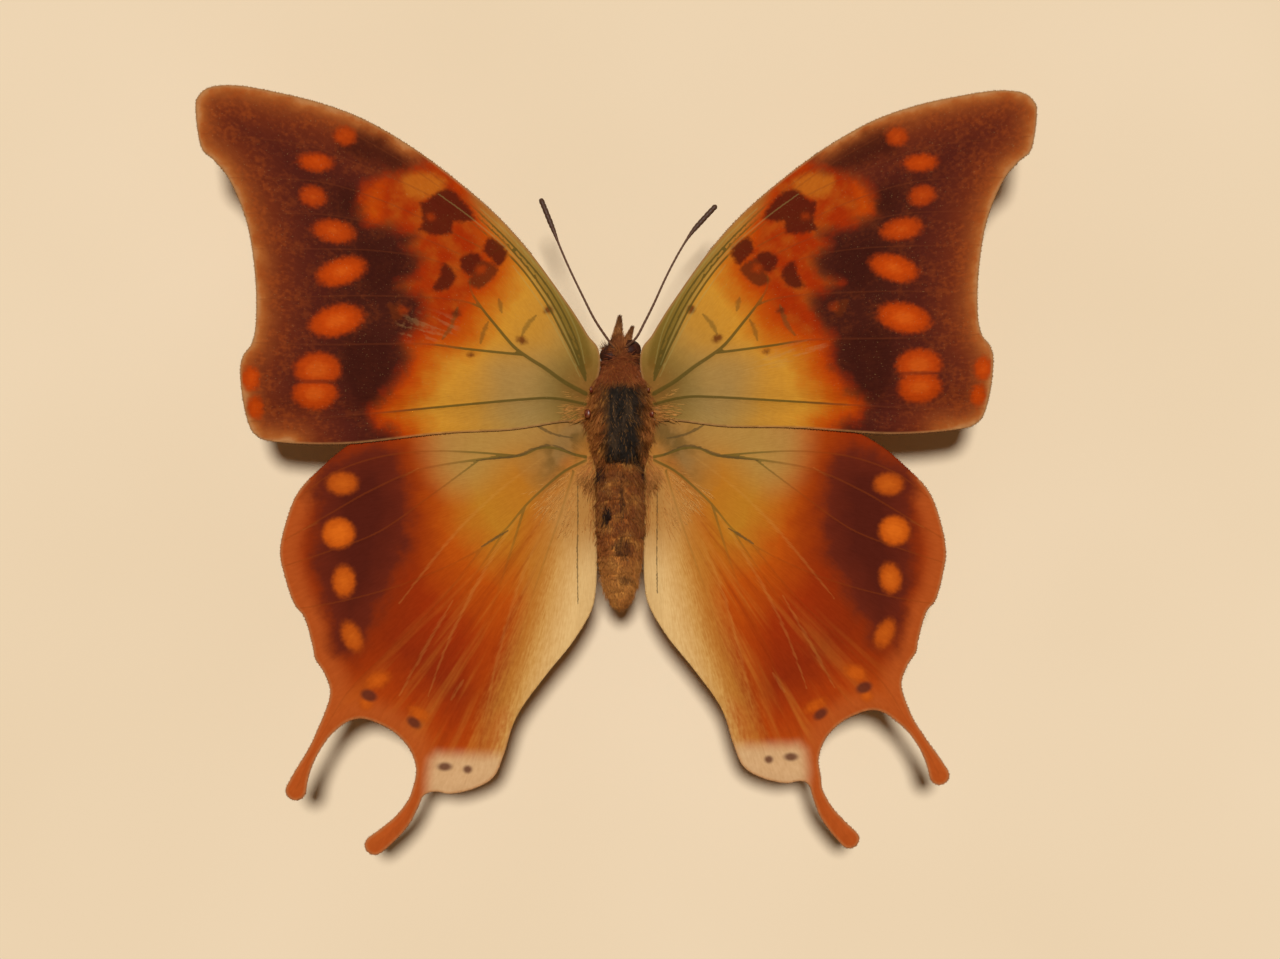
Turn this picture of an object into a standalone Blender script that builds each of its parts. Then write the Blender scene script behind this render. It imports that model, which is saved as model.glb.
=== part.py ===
"""A green-veined charaxes butterfly, life size, spread flat on a small display stand.

The insect faces +Y with its back up (+Z), and the origin is the centre of the stand's underside.
Every size below is in millimetres; the meshes are made in metres.
Wing points are (out, fore): millimetres out from the body's midline, and forward of the origin.
"""

import math
from dataclasses import dataclass

import bmesh
import bpy
from mathutils import Matrix, Vector
from mathutils.geometry import delaunay_2d_cdt, intersect_point_line

MM = 0.001
GAP = 0.3

# Stand
BASE_RADIUS = 12.0
BASE_THICKNESS = 2.5
BASE_EDGE = 0.5
BASE_SIDES = 40
ROD_RADIUS = 0.75
ROD_FORE = 4.8
ROD_SIDES = 14

# Body: each station is (fore, half width, height of the back, height of the underside)
THORAX = [
    (10.25, 1.35, 13.5, 10.7),
    (9.7, 2.05, 14.2, 9.9),
    (8.4, 2.75, 14.9, 9.0),
    (6.5, 3.2, 15.3, 8.5),
    (4.4, 3.25, 15.2, 8.4),
    (2.4, 2.95, 14.8, 8.7),
    (1.0, 2.55, 14.4, 9.1),
    (0.3, 2.3, 14.1, 9.4),
]
THORAX_STEP = 0.8
ABDOMEN_FRONT = 0.0
ABDOMEN_LENGTH = 15.65
ABDOMEN_SEGMENTS = 8
RINGS_A_SEGMENT = 3
ABDOMEN_HALF_WIDTH = 2.55
ABDOMEN_HALF_HEIGHT = 2.4
ABDOMEN_HEIGHT = 11.75
ABDOMEN_DROOP = 0.7
SEGMENT_GROOVE = 0.05
BODY_SIDES = 20

# The abdomen's girth, as shares of its full girth and of its length
FRONT_GIRTH = 0.86
FULL_GIRTH_AT = 0.28
TAPER_FROM = 0.3
TAPER_BY = 0.5
TAPER_POWER = 2.2
TIP_FROM = 0.84
LAST_RING_AT = 0.995

# Head, with its profile as (fore, share of the half width, share of the half height)
HEAD_AT = (0.05, 11.55, 12.1)
HEAD_TURN = math.radians(14)
HEAD_HALF_WIDTH = 0.95
HEAD_HALF_HEIGHT = 1.35
HEAD_PROFILE = [
    (-0.85, 0.55, 0.6),
    (-0.5, 0.85, 0.9),
    (0.0, 1.0, 1.0),
    (0.5, 0.97, 0.96),
    (0.9, 0.75, 0.78),
    (1.15, 0.45, 0.5),
]
HEAD_SIDES = 16
EYE_RADIUS = 1.25
EYE_LENGTH_SHARE = 0.9
EYE_BULGE = 1.05
EYE_FORE = 0.05
EYE_RINGS = (0.0, 0.3, 0.55, 0.75, 0.9, 0.98)
ANTENNA_ROOT = (0.62, 0.1)
ANTENNA_STEP = 1.2
CROWN_SHARE = 0.78
SHAFT_RADIUS = 0.25
CLUB_RADIUS = 0.34
CLUB_FROM = 0.7
CLUB_SWELL = 0.16
CLUB_END_SHARE = 0.6
PALP_RADIUS = 0.5
PALP_TIP_RADIUS = 0.16
PALP_TAPER = 0.8
PALP_STEP = 0.5
COIL_RADIUS = 0.8
COIL_THICKNESS = 0.6
COIL_FORE = 0.35
COIL_RINGS = ((-0.5, 0.75), (-0.25, 1.0), (0.25, 1.0), (0.5, 0.75))

# Wings: each middle surface rises outwards and arches across its chord
WING_THICKNESS = 0.5
ROOT_OUT = 3.0
FORE_HEIGHT = 13.0
FORE_RISE = math.tan(math.radians(2.0))
FORE_AXIS = (7.5, 0.38)
FORE_ARCH = 16.0
FORE_ROOT = (9.9, 4.5)
HIND_HEIGHT = 12.05
HIND_RISE = math.tan(math.radians(1.6))
HIND_AXIS = (-4.0, -0.35)
HIND_ARCH = 20.0
HIND_ROOT = (3.6, 0.9)
CAMBER = 0.5
VEIN_HALF_WIDTH = 0.42
VEIN_RIDGE = 0.22
VEIN_TAPER = 0.5
UNDER_SHARE = 0.6
EDGE_FADE = 1.2
OUTLINE_STEP = 1.6
VEIN_STEP = 2.2
FIELD_STEP = 3.4
ROW_SHARE = 0.87
CLOSEST = 0.28
FIELD_CLEAR = 1.3
CROSSING_SHARE = 0.9
SAME_POINT = 1e-5
FOLD_OUT = 4.6
FOLD_SLOPE = 0.35
FOLD_START = -1.0
FOLD_LENGTH = 2.0
FLANK_GAP = 0.38
SHARP_BODY = 40
SHARP_WING = 30


@dataclass(frozen=True)
class Side:
    """One side of the insect, with how its wings differ from the drawn left pair."""

    name: str
    sign: int
    fore_length: float = 1.0
    fore_narrowing: float = 0.0
    hind_scale: tuple = (1.0, 1.0)
    hind_flare: float = 0.0
    outer_tail_turn: float = 0.0
    inner_tail_turn: float = 0.0


LEFT = Side("l", -1)
RIGHT = Side("r", 1, 0.982, 0.00146, (0.953, 0.968), 0.015, math.radians(4.5), math.radians(-7.5))
FORE_STILL = 29.7
HIND_PIVOT = (3.2, 1.0)
FLARE_FROM = -9.0
FLARE_LENGTH = 6.0
OUTER_TAIL_ROOT = (30.6, -27.6)
INNER_TAIL_ROOT = (20.2, -33.2)
TAIL_BEND = 2.0

# Forewing, from the front of its root round the tip to the back of its root
FORE_OUTLINE = [
    (2.75, 12.1), (3.9, 14.4), (5.6, 17.0), (9.5, 22.3), (13.6, 26.7), (18.9, 31.1),
    (23.1, 34.0), (27.3, 36.3), (31.5, 37.8), (35.7, 38.8), (39.9, 39.5), (42.8, 39.3),
    (44.1, 38.3), (44.4, 36.8), (43.8, 32.9), (42.4, 31.4), (40.7, 29.2), (39.0, 24.8),
    (38.2, 19.6), (38.1, 15.1), (38.5, 12.6), (39.5, 11.1), (39.8, 9.2), (39.3, 4.8),
    (38.2, 2.7), (35.6, 2.0), (28.6, 1.85), (18.9, 2.9), (11.6, 3.3), (6.4, 4.1),
]
# Hindwing: the front edge, which the forewing covers at first, and the outer margin
HIND_COSTA = [
    (6.6, 5.0), (12.6, 5.5), (19.0, 5.1), (24.8, 3.8), (28.6, 1.9), (31.4, -0.4), (33.8, -2.9),
    (35.0, -5.6), (35.8, -9.2), (35.3, -12.0), (34.3, -14.9), (33.2, -16.4), (32.4, -19.2),
    (32.1, -20.7), (31.1, -22.3), (30.6, -24.6),
]
OUTER_TAIL = [(31.5, -29.0), (32.5, -30.8), (33.4, -32.6), (34.1, -34.5)]
OUTER_TAIL_HALF = (0.78, 0.72, 0.9, 1.22)
TAIL_BAY = [
    (30.1, -28.5), (28.7, -27.4), (27.2, -27.05), (25.4, -27.6), (23.6, -28.7), (22.2, -30.4),
    (21.6, -32.5),
]
INNER_TAIL = [(21.35, -34.9), (21.9, -36.1), (23.0, -37.8), (24.4, -39.2), (25.9, -40.4)]
INNER_TAIL_HALF = (0.8, 0.8, 1.0, 1.12, 1.2)
TIP_ANGLES = (45, 90, 135)
HIND_LOBE = [
    (19.5, -34.85), (17.9, -35.1), (15.4, -34.55), (13.3, -33.3), (12.2, -30.9), (10.8, -26.8),
    (7.9, -22.7), (5.0, -19.1), (3.0, -15.8), (2.5, -13.2),
]
FLANK_FORES = (-9.8, -7.0, -4.0, -1.2)

# Veins, each from its root outwards
FORE_VEINS = {
    "subcosta": [
        (3.9, 9.3), (4.9, 13.5), (7.5, 18.3), (11.3, 22.8), (16.0, 27.3), (21.0, 31.2), (25.2, 34.4),
    ],
    "radius": [
        (3.9, 8.6), (5.9, 13.3), (8.1, 17.3), (11.2, 21.3), (15.8, 25.3), (21.0, 28.5), (27.3, 31.2),
        (33.6, 33.3), (43.6, 34.3),
    ],
    "cubitus": [
        (3.9, 7.4), (5.8, 7.9), (7.9, 9.4), (9.5, 10.6), (11.1, 12.1), (12.9, 14.2), (14.5, 16.2),
        (15.6, 18.0), (15.6, 19.6), (14.7, 20.8), (13.4, 21.9), (12.6, 22.5),
    ],
    "media_1": [(13.4, 21.9), (18.9, 24.7), (25.2, 27.5), (31.9, 29.4), (40.9, 29.7)],
    "media_2": [(14.7, 20.8), (20.0, 23.2), (25.2, 24.8), (31.0, 25.9), (39.1, 26.0)],
    "media_3": [(15.6, 19.6), (20.0, 21.3), (25.2, 22.1), (30.5, 22.3), (38.2, 22.3)],
    "cubital_1": [(14.5, 16.2), (16.6, 16.9), (21.0, 17.3), (29.3, 17.4), (38.0, 17.0)],
    "cubital_2": [(10.3, 11.3), (16.3, 11.9), (21.0, 12.5), (30.5, 12.3), (38.3, 12.5)],
    "anal": [(3.9, 6.1), (6.8, 6.7), (10.2, 6.6), (18.9, 5.8), (25.2, 5.2), (33.6, 4.5), (39.0, 4.3)],
}
HIND_VEINS = {
    "costal": [(10.6, 0.7), (18.9, 1.2), (25.2, 0.6), (30.3, -1.2), (33.9, -3.9)],
    "radial": [
        (3.9, 0.6), (6.8, 1.3), (8.6, 1.3), (10.6, 0.7), (14.9, 0.2), (21.2, -0.8), (26.3, -3.0),
        (30.5, -5.4), (35.3, -8.2),
    ],
    "median": [(14.9, 0.2), (19.5, -3.2), (25.2, -7.2), (30.5, -9.3), (35.3, -10.9)],
    "cubitus": [(3.9, 0.2), (5.8, -0.9), (7.9, -2.6), (10.0, -4.6), (12.1, -7.1), (14.5, -9.0)],
    "median_3": [(14.5, -9.0), (17.9, -10.8), (23.1, -12.9), (28.9, -14.5), (34.0, -15.4)],
    "outer_tail": [
        (14.5, -9.0), (18.9, -14.5), (24.2, -19.7), (28.4, -23.9), (31.1, -28.2), (32.6, -31.0),
        (34.0, -34.3),
    ],
    "cubital_1": [(12.1, -7.1), (17.0, -14.5), (20.5, -19.2), (22.6, -23.3), (25.6, -26.9)],
    "inner_tail": [
        (10.0, -4.6), (13.2, -14.5), (15.6, -19.7), (17.6, -24.5), (19.7, -29.7), (21.3, -34.8),
        (23.0, -37.8), (25.7, -40.2),
    ],
    "anal": [(4.9, -1.0), (6.5, -6.1), (9.4, -14.5), (12.1, -22.9), (14.7, -29.2), (16.4, -33.9)],
}

# Limbs on the left, as (out, fore, height, radius) stations below the thorax
MIDLEG = [
    (1.6, 6.4, None, 0.42), (1.9, 7.2, 7.7, 0.42), (2.5, 8.4, 7.3, 0.38), (2.9, 9.0, 6.8, 0.36),
    (2.8, 8.6, 6.2, 0.33), (2.4, 6.8, 5.8, 0.3), (2.0, 4.8, 5.5, 0.27), (1.8, 2.8, 5.4, 0.25),
]
HINDLEG = [
    (1.6, 3.2, None, 0.42), (2.1, 2.3, 7.9, 0.42), (2.7, 0.8, 7.5, 0.38), (3.0, -0.2, 7.1, 0.36),
    (2.9, -1.4, 6.7, 0.32), (2.4, -3.6, 6.4, 0.28), (2.0, -5.8, 6.3, 0.25), (1.8, -7.6, 6.5, 0.25),
]
FORELEG = [
    (1.0, 8.9, None, 0.34), (1.1, 9.4, 8.2, 0.34), (1.15, 10.3, 8.3, 0.3), (1.05, 11.3, 8.9, 0.27),
]
LEG_SIDES = 8
LEG_STEP = 0.9

# Feelers and palps as the photo shows them on each side: (across, fore, height)
ANTENNA_L = [
    (-2.5, 14.7, 13.9), (-3.9, 17.4, 14.2), (-5.3, 20.3, 14.4), (-6.3, 22.6, 14.5), (-7.0, 24.4, 14.5),
    (-8.3, 27.6, 14.3),
]
ANTENNA_R = [
    (1.65, 13.0, 13.8), (2.6, 14.7, 13.9), (3.6, 16.7, 14.1), (4.6, 18.9, 14.3), (5.5, 20.7, 14.4),
    (6.45, 22.4, 14.5), (7.5, 24.0, 14.5), (8.8, 25.5, 14.4), (10.1, 26.9, 14.3),
]
PALP_L = [(-0.28, 13.05, 11.75), (-0.2, 13.8, 12.0), (-0.05, 15.25, 12.3)]
PALP_R = [(0.85, 13.05, 11.75), (1.0, 13.5, 12.0), (1.25, 14.15, 12.25)]

COLOURS = {
    "forewing_scales": (0.42, 0.13, 0.025),
    "hindwing_scales": (0.4, 0.11, 0.02),
    "thorax_hair": (0.16, 0.07, 0.03),
    "abdomen_hair": (0.33, 0.13, 0.04),
    "eye": (0.05, 0.025, 0.015),
    "feeler": (0.1, 0.05, 0.03),
    "limb_scales": (0.4, 0.17, 0.06),
    "base_paint": (0.62, 0.6, 0.56),
    "rod_steel": (0.55, 0.55, 0.56),
}


def clear_scene():
    """Removes whatever the scene holds before the model is made."""
    for found in list(bpy.data.objects):
        bpy.data.objects.remove(found, do_unlink=True)


def material(name, colour, roughness=0.6, metallic=0.0):
    """A plain Principled material of one colour."""
    made = bpy.data.materials.new(name)
    made.use_nodes = True
    shader = made.node_tree.nodes["Principled BSDF"]
    shader.inputs["Base Color"].default_value = (*colour, 1.0)
    shader.inputs["Roughness"].default_value = roughness
    shader.inputs["Metallic"].default_value = metallic
    return made


def add_object(name, points, faces, finish, smooth_below=SHARP_BODY):
    """A mesh object of the given name, from points in millimetres."""
    mesh = bpy.data.meshes.new(name)
    mesh.from_pydata([Vector(p) * MM for p in points], [], faces)
    mesh.validate()
    built = bmesh.new()
    built.from_mesh(mesh)
    bmesh.ops.recalc_face_normals(built, faces=built.faces[:])
    built.to_mesh(mesh)
    built.free()
    mesh.shade_smooth()
    mesh.set_sharp_from_angle(angle=math.radians(smooth_below))
    mesh.materials.append(finish)
    made = bpy.data.objects.new(name, mesh)
    bpy.context.scene.collection.objects.link(made)
    return made


def turns(sides):
    """Even angles round a circle."""
    return [2 * math.pi * s / sides for s in range(sides)]


def spline(points, step):
    """Points at about the given spacing along a smooth curve through the given points."""
    size = len(points[0])
    last = len(points) - 1
    curve = []
    for i in range(last):
        four = [points[min(max(i + k - 1, 0), last)] for k in range(4)]
        before, start, end, after = (Vector(p) for p in four)
        pieces = max(1, round((end - start).length / step))
        for k in range(pieces):
            t = k / pieces
            curve.append(
                0.5 * (
                    2 * start
                    + (end - before) * t
                    + (2 * before - 5 * start + 4 * end - after) * t ** 2
                    + (3 * start - before - 3 * end + after) * t ** 3
                )
            )
    curve.append(Vector(points[-1]))
    return [p.resized(size) for p in curve]


def rings_to_body(name, rings, finish):
    """A closed body through rings of points, with a fan over each end."""
    sides = len(rings[0])
    points = [p for ring in rings for p in ring]
    faces = []
    for r in range(len(rings) - 1):
        for s in range(sides):
            a = r * sides + s
            b = r * sides + (s + 1) % sides
            faces.append((a, b, b + sides, a + sides))
    for first, ring in ((0, rings[0]), (len(points) - sides, rings[-1])):
        middle = sum((Vector(p) for p in ring), Vector((0, 0, 0))) / sides
        points.append(middle)
        for s in range(sides):
            faces.append((first + s, first + (s + 1) % sides, len(points) - 1))
    return add_object(name, points, faces, finish)


def tube(name, path, radii, finish, sides=LEG_SIDES):
    """A closed round tube along a path, with its own radius at each point."""
    path = [Vector(p) for p in path]
    rings = []
    across = None
    for i, point in enumerate(path):
        ahead = (path[min(i + 1, len(path) - 1)] - path[max(i - 1, 0)]).normalized()
        if across is None:
            across = ahead.orthogonal().normalized()
        across = (across - ahead * across.dot(ahead)).normalized()
        over = ahead.cross(across)
        rings.append([
            point + radii[i] * (math.cos(turn) * across + math.sin(turn) * over)
            for turn in turns(sides)
        ])
    return rings_to_body(name, rings, finish)


def smooth_tube(name, stations, finish, step, sides=LEG_SIDES):
    """A tube on a smooth path through stations of (across, fore, height, radius)."""
    curve = spline(stations, step)
    return tube(name, [p.to_3d() for p in curve], [p[3] for p in curve], finish, sides)


def between(table, fore):
    """The row of a table of stations, sorted from front to back, at one place along the body."""
    for front, back in zip(table, table[1:]):
        if fore >= back[0]:
            share = min(max((front[0] - fore) / (front[0] - back[0]), 0.0), 1.0)
            return [a + (b - a) * share for a, b in zip(front, back)]
    return list(table[-1])


def thorax_side(fore, height):
    """How far out the thorax reaches at one place and height."""
    _, half_width, top, bottom = between(THORAX, fore)
    rise = min(abs(height - (top + bottom) / 2) / ((top - bottom) / 2), 1.0)
    return half_width * math.sqrt(1 - rise ** 2)


def thorax_underside(out, fore):
    """The height of the thorax's underside at one place."""
    _, half_width, top, bottom = between(THORAX, fore)
    share = min(abs(out) / half_width, 1.0)
    return (top + bottom) / 2 - (top - bottom) / 2 * math.sqrt(1 - share ** 2)


def abdomen_swell(share):
    """The abdomen's girth, from 0 to 1, at a share of its length."""
    filled = math.sin(min(share / FULL_GIRTH_AT, 1.0) * math.pi / 2)
    front = FRONT_GIRTH + (1 - FRONT_GIRTH) * filled
    back = 1 - TAPER_BY * (max(share - TAPER_FROM, 0.0) / (1 - TAPER_FROM)) ** TAPER_POWER
    tip = math.sqrt(max(1 - max((share - TIP_FROM) / (1 - TIP_FROM), 0.0) ** 2, 0.0))
    return front * back * tip


def abdomen_side(fore):
    """The abdomen's half width at one place along it."""
    share = min(max((ABDOMEN_FRONT - fore) / ABDOMEN_LENGTH, 0.0), 1.0)
    return ABDOMEN_HALF_WIDTH * abdomen_swell(share)


def oval(across, fore, height, half_width, half_height, sides=BODY_SIDES):
    """One ring of a body, square to its length."""
    return [
        (across + half_width * math.cos(turn), fore, height + half_height * math.sin(turn))
        for turn in turns(sides)
    ]


def build_thorax(finish):
    """The thorax, swollen over the wing muscles."""
    rings = []
    for fore, half_width, top, bottom in spline(THORAX, THORAX_STEP):
        rings.append(oval(0, fore, (top + bottom) / 2, half_width, (top - bottom) / 2))
    return rings_to_body("thorax", rings, finish)


def build_abdomen(finish):
    """The abdomen, with a shallow groove between its segments."""
    rings = []
    steps = ABDOMEN_SEGMENTS * RINGS_A_SEGMENT
    for i in range(steps + 1):
        share = (i / steps) * LAST_RING_AT
        grooved = i % RINGS_A_SEGMENT == 0 and 0 < i < steps
        girth = abdomen_swell(share) * (1 - SEGMENT_GROOVE * grooved)
        rings.append(
            oval(
                0,
                ABDOMEN_FRONT - share * ABDOMEN_LENGTH,
                ABDOMEN_HEIGHT - ABDOMEN_DROOP * share ** 2,
                ABDOMEN_HALF_WIDTH * girth,
                ABDOMEN_HALF_HEIGHT * girth,
            )
        )
    return rings_to_body("abdomen", rings, finish)


def head_frame():
    """The matrix that turns and places the head's own sizes, in millimetres."""
    return Matrix.Translation(HEAD_AT) @ Matrix.Rotation(HEAD_TURN, 4, "Z")


def build_head(finish):
    """The head capsule, narrow between the eyes, with a rounded face."""
    rings = []
    frame = head_frame()
    for fore, wide, high in HEAD_PROFILE:
        ring = oval(0, fore, 0, HEAD_HALF_WIDTH * wide, HEAD_HALF_HEIGHT * high, HEAD_SIDES)
        rings.append([frame @ Vector(p) for p in ring])
    return rings_to_body("head", rings, finish)


def build_eye(side, finish):
    """One compound eye, a dome on the side of the head."""
    frame = head_frame()
    rings = []
    for share in EYE_RINGS:
        out = side.sign * (HEAD_HALF_WIDTH + GAP + EYE_BULGE * share)
        radius = EYE_RADIUS * math.sqrt(1 - share ** 2)
        length = radius * EYE_LENGTH_SHARE
        rings.append([
            frame @ Vector((out, EYE_FORE + length * math.cos(turn), radius * math.sin(turn)))
            for turn in turns(HEAD_SIDES)
        ])
    return rings_to_body("eye_" + side.name, rings, finish)


def build_antenna(side, path, finish):
    """One feeler: a thin shaft that swells into a long club."""
    out, fore = ANTENNA_ROOT
    crown = HEAD_HALF_HEIGHT * CROWN_SHARE + GAP + SHAFT_RADIUS
    root = head_frame() @ Vector((side.sign * out, fore, crown))
    points = spline([tuple(root), *path], ANTENNA_STEP)
    last = len(points) - 1
    radii = []
    for i in range(len(points)):
        swell = min(max((i / last - CLUB_FROM) / CLUB_SWELL, 0.0), 1.0)
        radius = SHAFT_RADIUS + (CLUB_RADIUS - SHAFT_RADIUS) * swell
        radii.append(radius * CLUB_END_SHARE if i == last else radius)
    return tube("antenna_" + side.name, points, radii, finish)


def build_palp(side, path, finish):
    """One palp, a short tapered cone ahead of the face."""
    points = spline(path, PALP_STEP)
    last = len(points) - 1
    thinner = PALP_TIP_RADIUS - PALP_RADIUS
    radii = [PALP_RADIUS + thinner * (i / last) ** PALP_TAPER for i in range(last + 1)]
    return tube("palp_" + side.name, points, radii, finish)


def build_coil(finish):
    """The coiled tongue under the face, as one thick disc."""
    across, fore, height = HEAD_AT
    middle = height - HEAD_HALF_HEIGHT - GAP - COIL_RADIUS
    rings = []
    for share, width in COIL_RINGS:
        radius = COIL_RADIUS * width
        rings.append([
            (
                across + COIL_THICKNESS * share,
                fore + COIL_FORE + radius * math.cos(turn),
                middle + radius * math.sin(turn),
            )
            for turn in turns(HEAD_SIDES)
        ])
    return rings_to_body("proboscis", rings, finish)


def build_leg(name, side, stations, finish):
    """One folded leg, its flat upper end held just below the thorax."""
    path = []
    for out, fore, height, radius in stations:
        if height is None:
            height = thorax_underside(out - radius, fore) - GAP
        path.append(Vector((side.sign * out, fore, height, radius)))
    return smooth_tube(name + "_" + side.name, path, finish, LEG_STEP)


def fore_placed(point, side):
    """A forewing point on one side of the insect, as (across, fore)."""
    out = point[0] - ROOT_OUT
    narrowed = 1 - side.fore_narrowing * out
    return side.sign * (ROOT_OUT + out * side.fore_length), FORE_STILL + (point[1] - FORE_STILL) * narrowed


def hind_placed(point, side):
    """A hindwing point on one side of the insect, as (across, fore)."""
    out, fore = tails_swung(point, side)
    wide = side.hind_scale[0] + side.hind_flare * min(max(FLARE_FROM - fore, 0.0) / FLARE_LENGTH, 1.0)
    across = HIND_PIVOT[0] + (out - HIND_PIVOT[0]) * wide
    return side.sign * across, HIND_PIVOT[1] + (fore - HIND_PIVOT[1]) * side.hind_scale[1]


def swung(point, root, turn):
    """A hindwing point, turned about a tail's root if it is in that tail."""
    out = point[0] - root[0]
    fore = point[1] - root[1]
    if out < 0 or fore > 0:
        return point
    angle = turn * min(-fore / TAIL_BEND, 1.0)
    return (
        root[0] + out * math.cos(angle) - fore * math.sin(angle),
        root[1] + out * math.sin(angle) + fore * math.cos(angle),
    )


def tails_swung(point, side):
    """A hindwing point with this side's own angles of the two tails."""
    if point[0] >= OUTER_TAIL_ROOT[0] - TAIL_BEND and point[1] <= OUTER_TAIL_ROOT[1]:
        root = (OUTER_TAIL_ROOT[0] - TAIL_BEND, OUTER_TAIL_ROOT[1])
        return swung(point, root, side.outer_tail_turn)
    return swung(point, INNER_TAIL_ROOT, side.inner_tail_turn)


def arched(out, fore, height, rise, axis, arch):
    """The height of a wing's middle surface: a slight rise outwards and a gentle arch."""
    off_axis = fore - (axis[0] + axis[1] * out)
    return height + rise * (out - ROOT_OUT) + CAMBER * (1 - (off_axis / arch) ** 2)


def fore_surface(out, fore):
    """The height of the forewing's middle surface."""
    return arched(out, fore, FORE_HEIGHT, FORE_RISE, FORE_AXIS, FORE_ARCH)


def hind_surface(out, fore):
    """The height of the hindwing's middle surface, folded down beside the abdomen."""
    height = arched(out, fore, HIND_HEIGHT, HIND_RISE, HIND_AXIS, HIND_ARCH)
    folded = min(max(FOLD_START - fore, 0.0) / FOLD_LENGTH, 1.0)
    return height - max(FOLD_OUT - out, 0.0) * FOLD_SLOPE * folded


def ribbon(path, halves):
    """The two edges of a tail, along its outer side to the round tip and back along the inner."""
    path = [Vector(p) for p in path]
    outer, inner = [], []
    for i, point in enumerate(path):
        ahead = (path[min(i + 1, len(path) - 1)] - path[max(i - 1, 0)]).normalized()
        across = Vector((-ahead.y, ahead.x))
        outer.append(point + across * halves[i])
        inner.append(point - across * halves[i])
    end = (path[-1] - path[-2]).normalized()
    side = Vector((-end.y, end.x))
    tip = [
        path[-1] + halves[-1] * (end * math.sin(turn) + side * math.cos(turn))
        for turn in (math.radians(a) for a in TIP_ANGLES)
    ]
    return [tuple(p) for p in [*outer, *tip, *reversed(inner)]]


def inside(point, loop):
    """Whether a point lies in a closed loop."""
    found = False
    for a, b in zip(loop, loop[1:] + loop[:1]):
        if (a[1] > point[1]) != (b[1] > point[1]):
            if point[0] < (b[0] - a[0]) * (point[1] - a[1]) / (b[1] - a[1]) + a[0]:
                found = not found
    return found


def distance_to_line(point, line):
    """The shortest distance from a point to a line of points, and how far along it that is."""
    best, along = 1e9, 0.0
    for i, (a, b) in enumerate(zip(line, line[1:])):
        nearest, share = intersect_point_line(point, a, b)
        share = min(max(share, 0.0), 1.0)
        gap = (Vector(a).lerp(Vector(b), share) - Vector(point)).length
        if gap < best:
            best, along = gap, (i + share) / (len(line) - 1)
    return best, along


def vein_ridge(point, lines):
    """How far the veins raise the membrane at one point."""
    raised = 0.0
    for line in lines:
        gap, along = distance_to_line(point, line)
        size = 1 - VEIN_TAPER * along
        raised = max(raised, VEIN_RIDGE * size * max(1 - gap / (VEIN_HALF_WIDTH * size), 0.0))
    return raised


def wing_plan(outline, veins):
    """The flat triangles of a wing, with points along its edge, its veins and both their feet."""
    points, edges = list(outline), []
    rim = len(points)

    def clear_of(point, distance):
        return all((Vector(point) - Vector(other)).length > distance for other in points)

    lines = [[p.to_2d() for p in spline(vein, VEIN_STEP)] for vein in veins.values()]
    for line in lines:
        last = None
        for point in line:
            near = [i for i, other in enumerate(points) if (Vector(other) - point).length < CLOSEST]
            if near and near[0] < rim:
                last = None
                continue
            if not near:
                points.append(tuple(point))
            index = near[0] if near else len(points) - 1
            if last is not None and last != index:
                edges.append((last, index))
            last = index
    for own, line in enumerate(lines):
        for i, point in enumerate(line):
            ahead = (line[min(i + 1, len(line) - 1)] - line[max(i - 1, 0)]).normalized()
            half = VEIN_HALF_WIDTH * (1 - VEIN_TAPER * i / (len(line) - 1))
            for sign in (-1, 1):
                foot = point + sign * half * Vector((-ahead.y, ahead.x))
                others = [other for k, other in enumerate(lines) if k != own]
                near = min(distance_to_line(foot, other)[0] for other in others)
                if near >= half * CROSSING_SHARE and inside(foot, outline) and clear_of(foot, CLOSEST):
                    points.append(tuple(foot))
    outs = [p[0] for p in outline]
    fores = [p[1] for p in outline]
    row_step = FIELD_STEP * ROW_SHARE
    rows = int((max(fores) - min(fores)) / row_step) + 1
    columns = int((max(outs) - min(outs)) / FIELD_STEP) + 1
    for row in range(rows):
        for column in range(columns):
            shift = (row % 2) / 2
            spot = (min(outs) + (column + shift) * FIELD_STEP, min(fores) + row * row_step)
            if inside(spot, outline) and clear_of(spot, FIELD_CLEAR):
                points.append(spot)
    flat = [Vector(p) for p in points]
    plan = delaunay_2d_cdt(flat, edges, [list(range(rim))], 1, SAME_POINT)
    return plan[0], [tuple(face) for face in plan[2]], lines


def wing_solid(name, outline, veins, surface, place, finish):
    """A thin wing: the same triangles on its upper and under faces, and a wall round its edge."""
    flat, faces, lines = wing_plan(outline, veins)
    upper, under = [], []
    for point in flat:
        across, fore = place(point)
        middle = surface(point[0], point[1])
        edge, _ = distance_to_line(point, [*outline, outline[0]])
        ridge = vein_ridge(point, lines) * min(edge / EDGE_FADE, 1.0)
        upper.append((across, fore, middle + WING_THICKNESS / 2 + ridge))
        under.append((across, fore, middle - WING_THICKNESS / 2 - ridge * UNDER_SHARE))
    count = len(flat)
    used = {}
    for face in faces:
        for a, b in zip(face, face[1:] + face[:1]):
            used[(a, b)] = face
    walls = []
    for a, b in used:
        if (b, a) not in used:
            walls.append((b, a, a + count))
            walls.append((b, a + count, b + count))
    turned = [tuple(i + count for i in reversed(face)) for face in faces]
    return add_object(name, upper + under, [*faces, *turned, *walls], finish, SHARP_WING)


def root_edge(front, back, height, steps):
    """Points of a wing's root, a gap out from the thorax, from back to front."""
    fores = [back + (front - back) * i / steps for i in range(steps + 1)]
    return [(thorax_side(fore, height) + GAP, fore) for fore in fores]


def forewing_outline():
    """The closed outline of a forewing."""
    root = root_edge(*FORE_ROOT, FORE_HEIGHT, 4)
    free = spline([root[-1], *FORE_OUTLINE, root[0]], OUTLINE_STEP)
    return [tuple(p.to_2d()) for p in free] + root[1:-1]


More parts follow.
